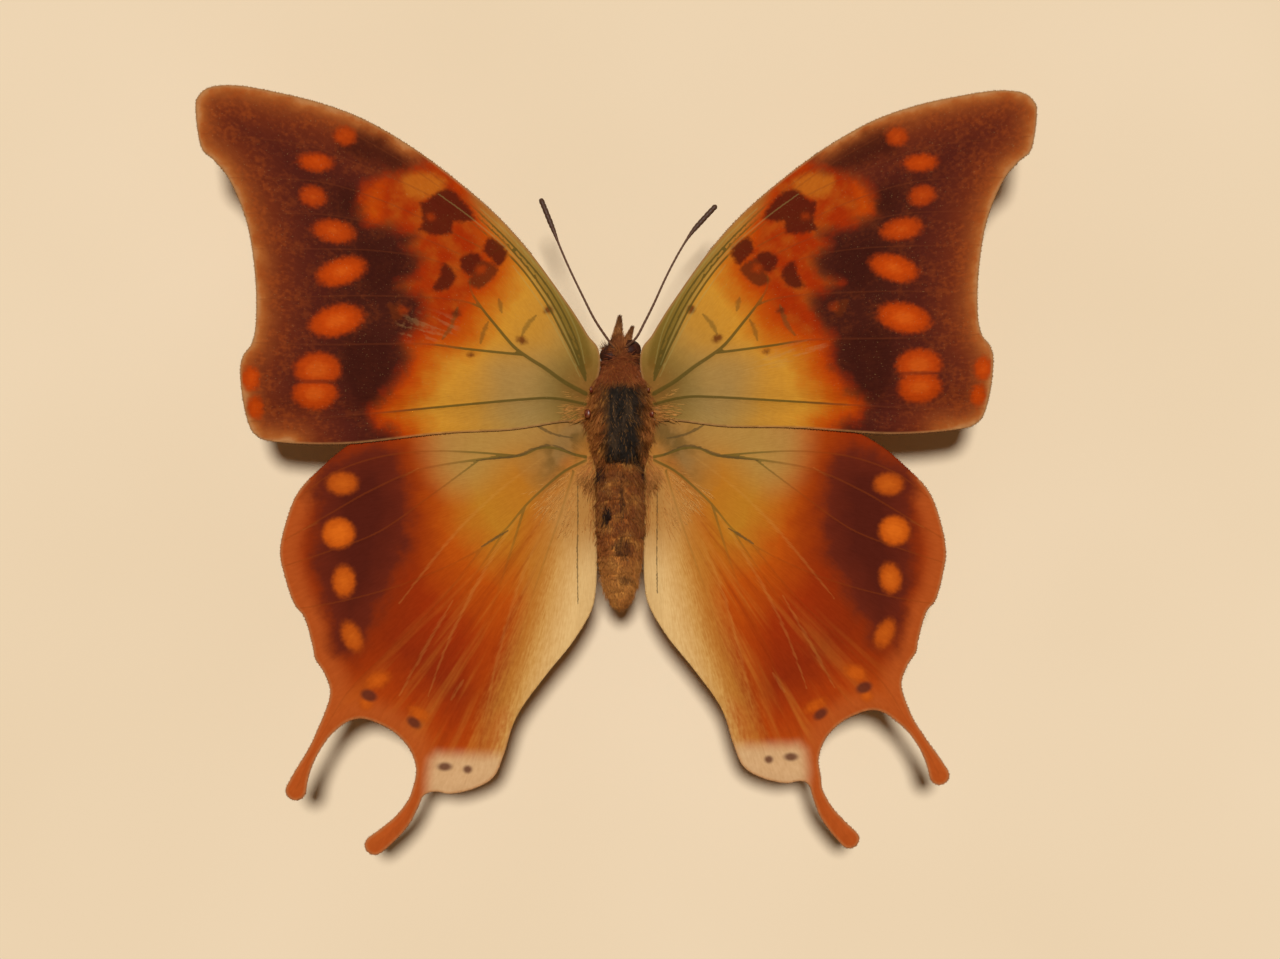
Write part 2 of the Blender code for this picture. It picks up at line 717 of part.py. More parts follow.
def hindwing_outline():
    """The closed outline of a hindwing, with its two tails and the lobe beside them."""
    root = root_edge(*HIND_ROOT, HIND_HEIGHT, 2)
    flank = [(abdomen_side(fore) + FLANK_GAP, fore) for fore in FLANK_FORES]
    free = [
        root[-1],
        *HIND_COSTA,
        *ribbon(OUTER_TAIL, OUTER_TAIL_HALF),
        *TAIL_BAY,
        *ribbon(INNER_TAIL, INNER_TAIL_HALF),
        *HIND_LOBE,
        *flank,
        root[0],
    ]
    return [tuple(p.to_2d()) for p in spline(free, OUTLINE_STEP)] + root[1:-1]


def build_wings(side, finishes):
    """The two wings of one side."""

    def place_fore(point):
        return fore_placed(point, side)

    def place_hind(point):
        return hind_placed(point, side)

    fore =("forewing_" + side.name, forewing_outline(), FORE_VEINS)
    wing_solid(*fore, fore_surface, place_fore, finishes["forewing_scales"])
    hind = ("hindwing_" + side.name, hindwing_outline(), HIND_VEINS)
    wing_solid(*hind, hind_surface, place_hind, finishes["hindwing_scales"])


def build_stand(finishes):
    """A round base and one rod up to the thorax."""
    rings = []
    for height, radius in (
        (0, BASE_RADIUS),
        (BASE_THICKNESS - BASE_EDGE, BASE_RADIUS),
        (BASE_THICKNESS, BASE_RADIUS - BASE_EDGE),
    ):
        rings.append([
            (radius * math.cos(turn), radius * math.sin(turn), height)
            for turn in turns(BASE_SIDES)
        ])
    rings_to_body("stand_base", rings, finishes["base_paint"])
    top = thorax_underside(0, ROD_FORE) - GAP
    path = [(0, ROD_FORE, BASE_THICKNESS + GAP), (0, ROD_FORE, top)]
    tube("stand_rod", path, [ROD_RADIUS] * 2, finishes["rod_steel"], ROD_SIDES)


def main():
    """Builds every piece of the model."""
    clear_scene()
    finishes = {name: material(name, colour) for name, colour in COLOURS.items()}
    build_thorax(finishes["thorax_hair"])
    build_abdomen(finishes["abdomen_hair"])
    build_head(finishes["thorax_hair"])
    build_coil(finishes["feeler"])
    for side, antenna, palp in ((LEFT, ANTENNA_L, PALP_L), (RIGHT, ANTENNA_R, PALP_R)):
        build_eye(side, finishes["eye"])
        build_antenna(side, antenna, finishes["feeler"])
        build_palp(side, palp, finishes["limb_scales"])
        build_leg("foreleg", side, FORELEG, finishes["limb_scales"])
        build_leg("midleg", side, MIDLEG, finishes["limb_scales"])
        build_leg("hindleg", side, HINDLEG, finishes["limb_scales"])
        build_wings(side, finishes)
    build_stand(finishes)


main()
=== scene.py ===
"""Dresses a life-size spread charaxes butterfly and its display stand.

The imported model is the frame. The insect faces +Y with its back up, and every size below is in
millimetres unless its name says otherwise. Wing points are (out, fore): out from the midline, and
forward of the origin.
"""

import copy
import logging
import math
from dataclasses import dataclass, field
from typing import Callable, Optional, Sequence

import bpy
import numpy as np
from mathutils import Matrix, Vector, noise
from mathutils.geometry import delaunay_2d_cdt

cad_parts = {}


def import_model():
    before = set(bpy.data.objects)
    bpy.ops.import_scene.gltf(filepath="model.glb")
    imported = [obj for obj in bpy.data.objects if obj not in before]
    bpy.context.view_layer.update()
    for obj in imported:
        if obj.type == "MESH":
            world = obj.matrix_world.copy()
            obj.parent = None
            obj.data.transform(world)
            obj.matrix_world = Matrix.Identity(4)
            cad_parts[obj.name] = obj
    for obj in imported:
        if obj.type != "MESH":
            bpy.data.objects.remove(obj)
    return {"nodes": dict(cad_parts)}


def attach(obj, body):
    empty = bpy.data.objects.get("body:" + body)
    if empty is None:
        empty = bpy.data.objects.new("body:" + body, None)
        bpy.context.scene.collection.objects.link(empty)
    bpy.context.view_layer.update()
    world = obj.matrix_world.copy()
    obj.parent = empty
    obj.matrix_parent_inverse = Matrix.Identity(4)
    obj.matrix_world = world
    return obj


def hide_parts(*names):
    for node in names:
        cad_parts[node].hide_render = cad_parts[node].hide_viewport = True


LOG = logging.getLogger("charaxes")
MM = 0.001
SEED = 20417
Points = Sequence[tuple]
THORAX_SLOT = "thorax_hair"
LIMB_SLOT = "limb_scales"

# A tuft is a blade of three sides: its corners as (across, up), and its thickness for its width
BLADE_CORNERS = ((-1.0, 0.0), (1.0, 0.0), (0.0, 1.0))
BLADE_THICKNESS = 0.55
TUFT_PATCH = 0.003

# Body sizes, the same as the solids': (fore, half width, height of the back, of the underside)
THORAX = [
    (10.25, 1.35, 13.5, 10.7), (9.7, 2.05, 14.2, 9.9), (8.4, 2.75, 14.9, 9.0), (6.5, 3.2, 15.3, 8.5),
    (4.4, 3.25, 15.2, 8.4), (2.4, 2.95, 14.8, 8.7), (1.0, 2.55, 14.4, 9.1), (0.3, 2.3, 14.1, 9.4),
]
ABDOMEN_LENGTH = 15.65
ABDOMEN_SEGMENTS = 8
ABDOMEN_HALF_WIDTH = 2.55
ABDOMEN_HALF_HEIGHT = 2.4
ABDOMEN_HEIGHT = 11.75
ABDOMEN_DROOP = 0.7
HEAD_AT = (0.05, 11.55, 12.1)
HEAD_TURN = math.radians(14)
EYE_OUT = 1.0
EYE_RADIUS = 1.22

# Wing sizes, the same as the solids'
ROOT_OUT = 3.0
FORE_HEIGHT = 13.0
FORE_RISE = math.tan(math.radians(2.0))
FORE_AXIS = (7.5, 0.38)
FORE_ARCH = 16.0
HIND_HEIGHT = 12.05
HIND_RISE = math.tan(math.radians(1.6))
HIND_AXIS = (-4.0, -0.35)
HIND_ARCH = 20.0
CAMBER = 0.5
REAR_SAG = 0.6
FOLD_OUT = 4.6
FOLD_SLOPE = 0.35
FOLD_START = -1.0
FOLD_LENGTH = 2.0

FORE_OUTLINE = [
    (2.2, 12.0), (3.2, 13.3), (4.0, 14.6), (5.6, 17.0), (9.5, 22.3), (13.6, 26.7), (18.9, 31.1),
    (23.1, 34.0), (27.3, 36.3), (31.5, 37.8), (35.7, 38.8), (39.9, 39.5), (42.8, 39.3), (44.1, 38.3),
    (44.4, 36.8), (43.8, 32.9), (42.4, 31.4), (40.7, 29.2), (39.0, 24.8), (38.2, 19.6), (38.1, 15.1),
    (38.5, 12.6), (39.5, 11.1), (39.8, 9.2), (39.3, 4.8), (38.2, 2.7), (35.6, 2.0), (28.6, 1.85),
    (18.9, 2.9), (11.6, 3.3), (6.4, 4.1), (3.1, 4.5), (2.7, 7.0), (2.0, 9.9),
]
HIND_COSTA = [
    (3.0, 3.6), (6.6, 5.0), (12.6, 5.5), (19.0, 5.1), (24.8, 3.8), (28.6, 1.9), (31.4, -0.4),
    (33.8, -2.9), (35.0, -5.6), (35.8, -9.2), (35.3, -12.0), (34.3, -14.9), (33.2, -16.4),
    (32.4, -19.2), (32.1, -20.7), (31.1, -22.3), (30.6, -24.6),
]
OUTER_TAIL = [(31.5, -29.0), (32.5, -30.8), (33.4, -32.6), (34.1, -34.5)]
OUTER_TAIL_HALF = (0.74, 0.66, 0.84, 1.16)
TAIL_BAY = [
    (30.1, -28.5), (28.7, -27.4), (27.2, -27.05), (25.4, -27.6), (23.6, -28.7), (22.2, -30.4),
    (21.6, -32.5),
]
INNER_TAIL = [(21.35, -34.9), (21.9, -36.1), (23.0, -37.8), (24.4, -39.2), (25.9, -40.4)]
INNER_TAIL_HALF = (0.76, 0.74, 0.92, 1.06, 1.14)
TIP_ANGLES = (20, 45, 70, 90, 110, 135, 160)
HIND_LOBE = [
    (19.5, -34.85), (17.9, -35.1), (15.4, -34.55), (13.3, -33.3), (12.2, -30.9), (10.8, -26.8),
    (7.9, -22.7), (5.0, -19.1), (3.0, -15.8), (2.45, -13.2), (2.35, -9.8), (2.4, -7.0), (2.4, -4.0),
    (2.4, -1.2), (2.9, 0.9),
]


@dataclass(frozen=True)
class Vein:
    """One vein: its course from the root outwards, and its half width at each end."""

    course: Points
    root: float = 0.2
    tip: float = 0.08


FORE_VEINS = [
    Vein([(3.6, 9.3), (4.9, 13.5), (7.5, 18.3), (11.3, 22.8), (16.0, 27.3), (21.0, 31.2),
          (25.2, 34.4)], 0.14),
    Vein([(3.6, 8.9), (5.4, 13.4), (7.8, 17.8), (11.2, 22.1), (16.0, 26.6), (22.0, 31.0), (27.5, 34.2)], 0.1),
    Vein([(3.6, 8.6), (5.9, 13.3), (8.1, 17.3), (11.2, 21.3), (15.8, 25.3), (21.0, 28.5), (27.3, 31.2),
          (33.6, 33.3), (43.6, 34.3)], 0.17),
    Vein([(3.6, 7.2), (5.8, 8.4), (7.9, 9.9), (9.5, 10.9), (11.1, 12.1), (12.9, 14.2), (14.5, 16.2),
          (15.6, 18.0), (15.6, 19.6), (14.7, 20.8), (13.4, 21.9), (12.6, 22.5)], 0.4, 0.1),
    Vein([(13.4, 21.9), (18.9, 24.7), (25.2, 27.5), (31.9, 29.4), (40.9, 29.7)], 0.12),
    Vein([(14.7, 20.8), (20.0, 23.2), (25.2, 24.8), (31.0, 25.9), (39.1, 26.0)], 0.12),
    Vein([(15.6, 19.6), (20.0, 21.3), (25.2, 22.1), (30.5, 22.3), (38.2, 22.3)], 0.12),
    Vein([(14.5, 16.2), (16.6, 16.9), (21.0, 17.3), (29.3, 17.4), (38.0, 17.0)], 0.16),
    Vein([(10.3, 11.3), (12.5, 11.5), (16.3, 11.9), (21.0, 12.4), (30.5, 12.3), (38.3, 12.5)], 0.22),
    Vein([(3.6, 6.1), (6.8, 6.7), (10.2, 6.6), (18.9, 5.8), (25.2, 5.2), (33.6, 4.5), (39.0, 4.3)], 0.24),
]
HIND_VEINS = [
    Vein([(10.6, 0.7), (18.9, 1.2), (25.2, 0.6), (30.3, -1.2), (33.9, -3.9)], 0.16),
    Vein([(3.6, 0.6), (4.7, 0.8), (6.8, 1.5), (8.6, 1.5), (10.6, 0.7), (14.9, 0.3), (21.2, -0.8),
          (26.3, -3.0), (30.5, -5.4), (35.3, -8.2)], 0.24),
    Vein([(14.9, 0.2), (19.5, -3.2), (25.2, -7.2), (30.5, -9.3), (35.3, -10.9)], 0.12),
    Vein([(3.6, 0.2), (5.8, -0.9), (7.9, -2.6), (10.0, -4.6), (12.1, -7.1), (14.5, -9.0)], 0.24, 0.12),
    Vein([(14.5, -9.0), (17.9, -10.8), (23.1, -12.9), (28.9, -14.5), (34.0, -15.4)], 0.12),
    Vein([(14.5, -9.0), (18.9, -14.5), (24.2, -19.7), (28.4, -23.9), (31.1, -28.2), (32.6, -31.0),
          (34.0, -34.3)], 0.16),
    Vein([(12.1, -7.1), (17.0, -14.5), (20.5, -19.2), (22.6, -23.3), (25.6, -26.9)], 0.16),
    Vein([(10.0, -4.6), (13.2, -14.5), (15.6, -19.7), (17.6, -24.5), (19.7, -29.7), (21.3, -34.8),
          (23.0, -37.8), (25.7, -40.2)], 0.2),
    Vein([(4.9, -1.0), (6.5, -6.1), (9.4, -14.5), (12.1, -22.9), (14.7, -29.2), (16.4, -33.9)], 0.16),
]


@dataclass(frozen=True)
class Spot:
    """A soft oval mark, with how far the right wing's own sits from the mirror of the left's."""

    at: tuple
    half: tuple
    tilt: float = 0.0
    right_shift: tuple = (0.0, 0.0)
    strength: float = 1.0


FORE_SPOTS = [
    Spot((28.8, 34.2), (1.1, 0.95), 0, (0.7, 0.1), 0.75),
    Spot((31.8, 31.4), (1.7, 0.9), 4, (0.2, 0.0), 0.9),
    Spot((32.1, 27.8), (1.35, 1.05), 16, (0.0, 0.0), 0.75),
    Spot((29.9, 24.15), (2.1, 1.15), 10, (0.0, 0.0), 0.85),
    Spot((29.1, 19.95), (2.5, 1.35), -18, (0.0, 0.0), 0.95),
    Spot((29.6, 14.8), (2.75, 1.55), -14, (0.6, -0.3), 0.95),
    Spot((31.6, 9.7), (2.35, 1.75), 0, (0.2, -0.4), 0.85),
    Spot((31.9, 7.2), (2.25, 1.6), 0, (0.0, -0.3), 0.88),
]
FORE_SMALL_SPOTS = [
    Spot((38.6, 8.7), (0.9, 1.25), 0, (0.0, 0.0), 0.95),
    Spot((38.2, 5.8), (0.8, 1.15), 0, (0.0, 0.0), 0.95),
    Spot((19.8, 25.7), (0.35, 0.3), 0, (0.0, 0.0), 0.5),
    Spot((22.7, 15.9), (0.45, 0.4), 0, (0.0, 0.0), 0.4),
    Spot((14.6, 20.2), (0.5, 0.45), 0, (0.0, 0.0), 0.5),
]
HIND_SPOTS = [
    Spot((29.2, -2.2), (1.5, 1.1), 0, (0.3, -0.2), 0.8),
    Spot((29.6, -7.45), (1.6, 1.5), 0, (0.5, 0.0), 1.0),
    Spot((29.0, -12.5), (1.1, 1.5), 0, (0.4, -0.1), 0.9),
    Spot((28.15, -18.3), (0.9, 1.5), -25, (0.5, -0.3), 0.8),
]
HIND_LUNULES = [
    Spot((25.5, -22.9), (1.25, 0.75), -25, strength=0.75),
    Spot((26.7, -25.4), (0.6, 0.55), strength=0.75),
    Spot((21.1, -26.5), (1.1, 0.55), 30, strength=0.75),
]
HIND_DOTS = [
    Spot((26.4, -24.5), (0.75, 0.5), 20),
    Spot((21.7, -27.4), (0.7, 0.42), 35),
    Spot((18.5, -32.1), (0.62, 0.36), 0),
    Spot((16.1, -32.4), (0.38, 0.34), 0),
]
FORE_DOTS = [
    Spot((7.5, 16.0), (0.5, 0.45), 0),
    Spot((17.1, 15.6), (0.42, 0.3), 0),
    Spot((10.3, 12.8), (0.55, 0.4), 20),
    Spot((15.6, 11.3), (0.35, 0.25), 0),
]

# Soft-edged fields of the forewing's upper side
DARK_FIELD = [
    (19.3, 32.4), (21.2, 31.1), (23.1, 30.4), (25.6, 29.8), (27.0, 28.2), (27.4, 25.9), (25.7, 24.8),
    (23.2, 24.4), (21.6, 23.6), (22.3, 22.6), (20.9, 21.2), (21.2, 19.6), (23.4, 18.4), (21.0, 17.4),
    (20.6, 15.6), (21.6, 13.8), (22.8, 12.4), (22.3, 10.6), (23.6, 8.3), (25.2, 6.6), (26.4, 5.2),
    (25.6, 3.8), (23.4, 2.3), (28.0, -2.0), (46.2, 0.0), (49.0, 40.0), (36.0, 44.0), (20.0, 36.5),
]
DARK_BLOTCH = [
    (19.0, 28.4), (17.8, 28.6), (16.25, 27.2), (15.15, 25.5), (16.25, 25.2), (17.5, 25.15), (17.65, 23.95),
    (19.6, 23.8), (21.0, 24.4), (20.6, 25.2), (20.9, 27.2), (20.1, 27.5),
]
CELL_MARKS = [
    [(13.7, 23.6), (12.5, 23.0), (11.8, 22.05), (12.1, 21.1), (12.85, 20.5), (13.65, 21.5), (14.3, 21.95),
     (14.1, 23.0)],
    [(16.25, 21.8), (15.0, 21.9), (14.4, 21.15), (14.85, 20.2), (15.6, 19.6), (16.55, 20.2), (16.8, 21.0)],
    [(18.55, 20.85), (17.6, 20.4), (17.2, 19.3), (17.95, 18.2), (19.2, 17.9), (19.65, 18.2), (18.85, 19.6)],
]
BROWN_MARKS = [
    [(14.5, 21.15), (12.75, 20.3), (13.6, 19.0), (14.75, 18.2), (15.9, 18.8), (15.3, 19.8)],
    [(24.3, 16.6), (23.0, 16.3), (22.6, 15.3), (23.6, 14.8)],
]
ORANGE_FIELD = [
    (24.0, 31.0), (18.8, 30.4), (16.4, 27.4), (15.8, 24.6), (15.2, 22.6), (14.2, 20.9), (15.2, 18.9),
    (16.8, 17.3), (17.2, 15.4), (19.6, 14.0), (24.0, 13.5),
]
OCHRE_PATCH = [(22.8, 30.0), (20.4, 30.4), (18.3, 29.6), (18.4, 28.6), (20.2, 27.7), (22.3, 27.9)]
DARKEST = [
    [(29.4, 28.6), (27.4, 28.4), (27.0, 26.6), (28.8, 26.2)],
    [(27.2, 22.5), (23.6, 22.3), (22.7, 21.0), (23.6, 18.3), (26.2, 17.9)],
    [(28.3, 12.5), (24.7, 13.0), (23.9, 10.7), (24.7, 7.9), (27.1, 6.1), (28.8, 8.6)],
    [(28.9, 34.6), (26.5, 34.4), (23.9, 33.0), (21.8, 31.1), (22.7, 30.2), (25.2, 31.1), (27.7, 32.1),
     (29.2, 32.8)],
]
GREEN_CENTRE = (3.0, 7.5)
FORE_FLUSH = [(13.4, 9.9), (10.0, 10.8), (6.6, 9.3), (6.0, 6.5), (9.0, 4.4), (12.2, 5.6)]
GREEN_BAND = [
    (2.5, 10.0), (3.4, 13.6), (5.3, 17.2), (8.9, 22.4), (13.2, 27.0), (16.0, 29.0), (15.2, 26.6),
    (11.8, 22.6), (8.0, 17.6), (5.8, 12.8), (4.6, 9.4),
]
SPOT_DIVIDERS = [[(28.6, 8.4), (31.8, 8.45), (35.0, 8.3)], [(36.6, 7.15), (38.4, 7.25), (40.2, 7.2)]]
# Pale lines of painted highlight along the raised veins at the forewing's costal base
FORE_PAINTED_HIGHLIGHTS = [
    [(4.3, 10.2), (5.3, 12.6), (7.4, 16.7), (11.0, 21.5), (15.2, 25.3), (19.0, 28.1)],
    [(3.7, 10.4), (4.7, 14.2), (7.2, 18.6), (11.0, 23.2), (14.6, 26.6)],
    [(4.2, 9.0), (6.2, 13.0), (8.3, 16.6), (11.2, 20.6)],
]
CELL_LINES = [
    [(8.8, 15.4), (9.7, 14.4), (10.3, 13.3)], [(13.8, 14.7), (14.3, 13.6), (14.6, 12.5)],
    [(17.0, 16.2), (17.6, 14.4), (18.6, 12.9)], [(12.7, 17.1), (12.4, 15.7)],
]
FORE_WORN = [(22.6, 15.2), (19.6, 15.6), (17.2, 14.9), (17.6, 13.2), (21.4, 12.7), (23.2, 13.8)]
FORE_WORN_RIGHT = [(21.4, 12.6), (17.2, 11.5), (13.4, 10.2), (13.8, 8.9), (18.2, 10.1), (21.8, 11.5)]

# Soft-edged fields of the hindwing's upper side
HIND_DARK = [
    (28.9, 0.7), (26.2, 1.7), (23.6, 0.7), (22.6, -1.9), (22.1, -5.6), (22.3, -9.2), (23.1, -11.3),
    (24.7, -14.5), (26.2, -17.1), (28.1, -20.4), (29.8, -20.0), (30.7, -16.6), (31.5, -13.4),
    (32.3, -10.3), (32.1, -7.1), (31.9, -4.5), (32.5, -2.4), (31.0, -0.3),
]
CREAM_FIELD = [
    (5.9, -3.9), (6.8, -8.2), (7.9, -13.4), (9.3, -18.7), (11.0, -23.9), (12.6, -29.0), (13.0, -33.0),
    (6.3, -36.4), (-2.1, -18.7), (0.0, 0.9),
]
PINK_LOBE = [
    (19.8, -31.5), (18.2, -31.0), (15.0, -31.1), (11.4, -31.4), (11.0, -34.0), (15.8, -37.4), (19.8, -36.8),
]
HIND_FLUSH = [(18.6, 4.6), (8.5, 5.0), (9.6, 2.2), (12.6, 0.9), (15.4, -1.6), (17.4, -1.8), (19.0, 0.6)]
FOLD_STREAK = [
    (5.4, -0.4), (7.2, -4.2), (9.4, -8.1), (11.4, -12.3), (13.2, -17.6), (14.7, -25.0), (16.0, -30.0),
]
PALE_STREAKS = [
    [(4.6, -1.2), (7.6, -6.2), (10.4, -12.3), (12.6, -19.5), (14.4, -27.4)],
    [(6.2, -0.2), (9.8, -4.6), (13.4, -9.8), (17.6, -17.8), (20.2, -24.6)],
    [(8.0, 0.6), (13.0, -3.2), (17.8, -8.0), (23.2, -14.8)],
    [(17.6, -14.5), (20.5, -19.6), (23.2, -24.5)],
    [(21.2, -0.6), (27.2, -3.9), (33.3, -7.1)],
    [(25.2, -7.7), (27.3, -8.3)],
    [(25.4, -9.6), (28.4, -12.4), (29.6, -13.6)],
    [(16.5, -22.9), (17.8, -25.0)],
]
DASHED_LINE = [(4.5, -1.9), (4.45, -6.0), (4.5, -10.0), (4.45, -14.9)]
DASHED_LINE_RIGHT = [(3.95, -1.5), (3.95, -6.0), (3.9, -10.0), (3.95, -14.3)]
DARK_SCRATCHES = [
    [(11.8, -7.2), (13.2, -8.0), (14.6, -8.9)],
    [(4.7, 0.8), (7.0, 1.8), (8.9, 1.5), (11.0, 0.7), (15.1, 0.2)],
    [(5.0, 2.6), (7.0, 3.0), (9.4, 4.2)],
]


# Small maths shared by every piece

def smooth(low: float, high: float, value: np.ndarray) -> np.ndarray:
    """Rises smoothly from 0 to 1 between two values."""
    share = np.clip((value - low) / (high - low), 0.0, 1.0)
    return share * share * (3.0 - 2.0 * share)


def unit(rows: np.ndarray) -> np.ndarray:
    """The rows' directions, each of length 1."""
    return rows / np.maximum(np.linalg.norm(rows, axis=-1, keepdims=True), 1e-9)


def spline(points: Points, step: float, closed: bool = False) -> np.ndarray:
    """Samples a smooth curve.

    Args:
        points: What the curve passes through.
        step: About how far apart the samples are.
        closed: Whether it ends where it starts.

    Returns:
        One row for each sample.
    """
    rows = np.asarray(points, float)
    last = len(rows) - 1
    curve = []
    for i in range(last + closed):
        near = [(i + k) % (last + 1) if closed else min(max(i + k, 0), last) for k in (-1, 0, 1, 2)]
        before, start, end, after = rows[near]
        pieces = max(1, round(float(np.linalg.norm(end - start)) / step))
        t = (np.arange(pieces) / pieces)[:, None]
        curve.append(0.5 * (
            2 * start + (end - before) * t + (2 * before - 5 * start + 4 * end - after) * t ** 2
            + (3 * start - before - 3 * end + after) * t ** 3
        ))
    return np.vstack(curve if closed else [*curve, rows[-1:]])


def line_distance(points: np.ndarray, line: np.ndarray) -> tuple[np.ndarray, np.ndarray]:
    """Measures how far points are from a line of points.

    Args:
        points: The places to measure at, one a row.
        line: The line's own points, one a row.

    Returns:
        Each place's distance, and how far along the line its nearest point is, from 0 to 1.
    """
    best = np.full(len(points), np.inf)
    along = np.zeros(len(points))
    spans = len(line) - 1
    for i in range(spans):
        start, span = line[i], line[i + 1] - line[i]
        share = np.clip((points - start) @ span / max(float(span @ span), 1e-12), 0.0, 1.0)
        gap = np.hypot(*(points - start - share[:, None] * span).T)
        nearer = gap < best
        best[nearer] = gap[nearer]
        along[nearer] = (i + share[nearer]) / spans
    return best, along


def inside(points: np.ndarray, loop: np.ndarray) -> np.ndarray:
    """Says which points lie in a closed loop.

    Args:
        points: The places to test, one a row.
        loop: The loop's corners, one a row.

    Returns:
        True for each place that is inside.
    """
    found = np.zeros(len(points), bool)
    for a, b in zip(loop, np.roll(loop, -1, axis=0)):
        if a[1] != b[1]:
            spans = (a[1] > points[:, 1]) != (b[1] > points[:, 1])
            crossing = (b[0] - a[0]) * (points[:, 1] - a[1]) / (b[1] - a[1]) + a[0]
            found ^= spans & (points[:, 0] < crossing)
    return found


def depth_in(points: np.ndarray, loops: Sequence[Points], softness: float = 1.2) -> np.ndarray:
    """Measures how deep points lie in smooth closed shapes.

    Args:
        points: The places to measure at, one a row.
        loops: For each shape, points that its edge passes through.
        softness: Spacing of the samples along an edge.

    Returns:
        The depth in the nearest shape, negative outside.
    """
    depths = []
    for loop in loops:
        edge = spline(loop, softness, closed=True)
        gap, _ = line_distance(points, np.vstack([edge, edge[:1]]))
        depths.append(np.where(inside(points, edge), gap, -gap))
    return np.max(depths, axis=0)


def spot_depth(points: np.ndarray, spots: Sequence[Spot], right: bool) -> tuple[np.ndarray, np.ndarray]:
    """Measures how deep points lie in the nearest of a few oval spots.

    Args:
        points: The places to measure at, one a row.
        spots: The ovals.
        right: Whether the right wing's own shifts apply.

    Returns:
        The depth, negative outside, and the strength of the spot that it belongs to.
    """
    best = np.full(len(points), -np.inf)
    strength = np.zeros(len(points))
    for spot in spots:
        turn = math.radians(spot.tilt)
        offset = points - (np.add(spot.at, spot.right_shift) if right else spot.at)
        along = offset @ (math.cos(turn), math.sin(turn)) / spot.half[0]
        across = offset @ (-math.sin(turn), math.cos(turn)) / spot.half[1]
        depth = (1.0 - np.hypot(along, across)) * min(spot.half)
        strength = np.where(depth > best, spot.strength, strength)
        best = np.maximum(best, depth)
    return best, strength


def streak(points: np.ndarray, courses: Sequence[Points], half: float) -> np.ndarray:
    """A slope across thin lines: 1 in a line's middle, 0 at its edge and less outside.

    Args:
        points: The places to measure at, one a row.
        courses: The lines' points.
        half: Their half width in the middle; they thin towards both ends.

    Returns:
        Values from -2 to 1.
    """
    best = np.full(len(points), -2.0)
    for course in courses:
        gap, along = line_distance(points, spline(course, 0.6))
        width = half * (0.35 + 0.65 * np.sin(math.pi * np.clip(along, 0.02, 0.98)))
        best = np.maximum(best, 1 - gap / width)
    return best


def linear(code: str) -> tuple:
    """The linear colour that shaders use, with an alpha of 1, for a screen colour given as #RRGGBB."""
    parts = [int(code[i:i + 2], 16) / 255 for i in (1, 3, 5)]
    return (*(c / 12.92 if c <= 0.04045 else ((c + 0.055) / 1.055) ** 2.4 for c in parts), 1.0)


def random_rows(seed: int) -> np.random.Generator:
    """A source of random numbers with a piece's own seed, so that each run makes the same model."""
    return np.random.default_rng(SEED + seed)


# Shaders

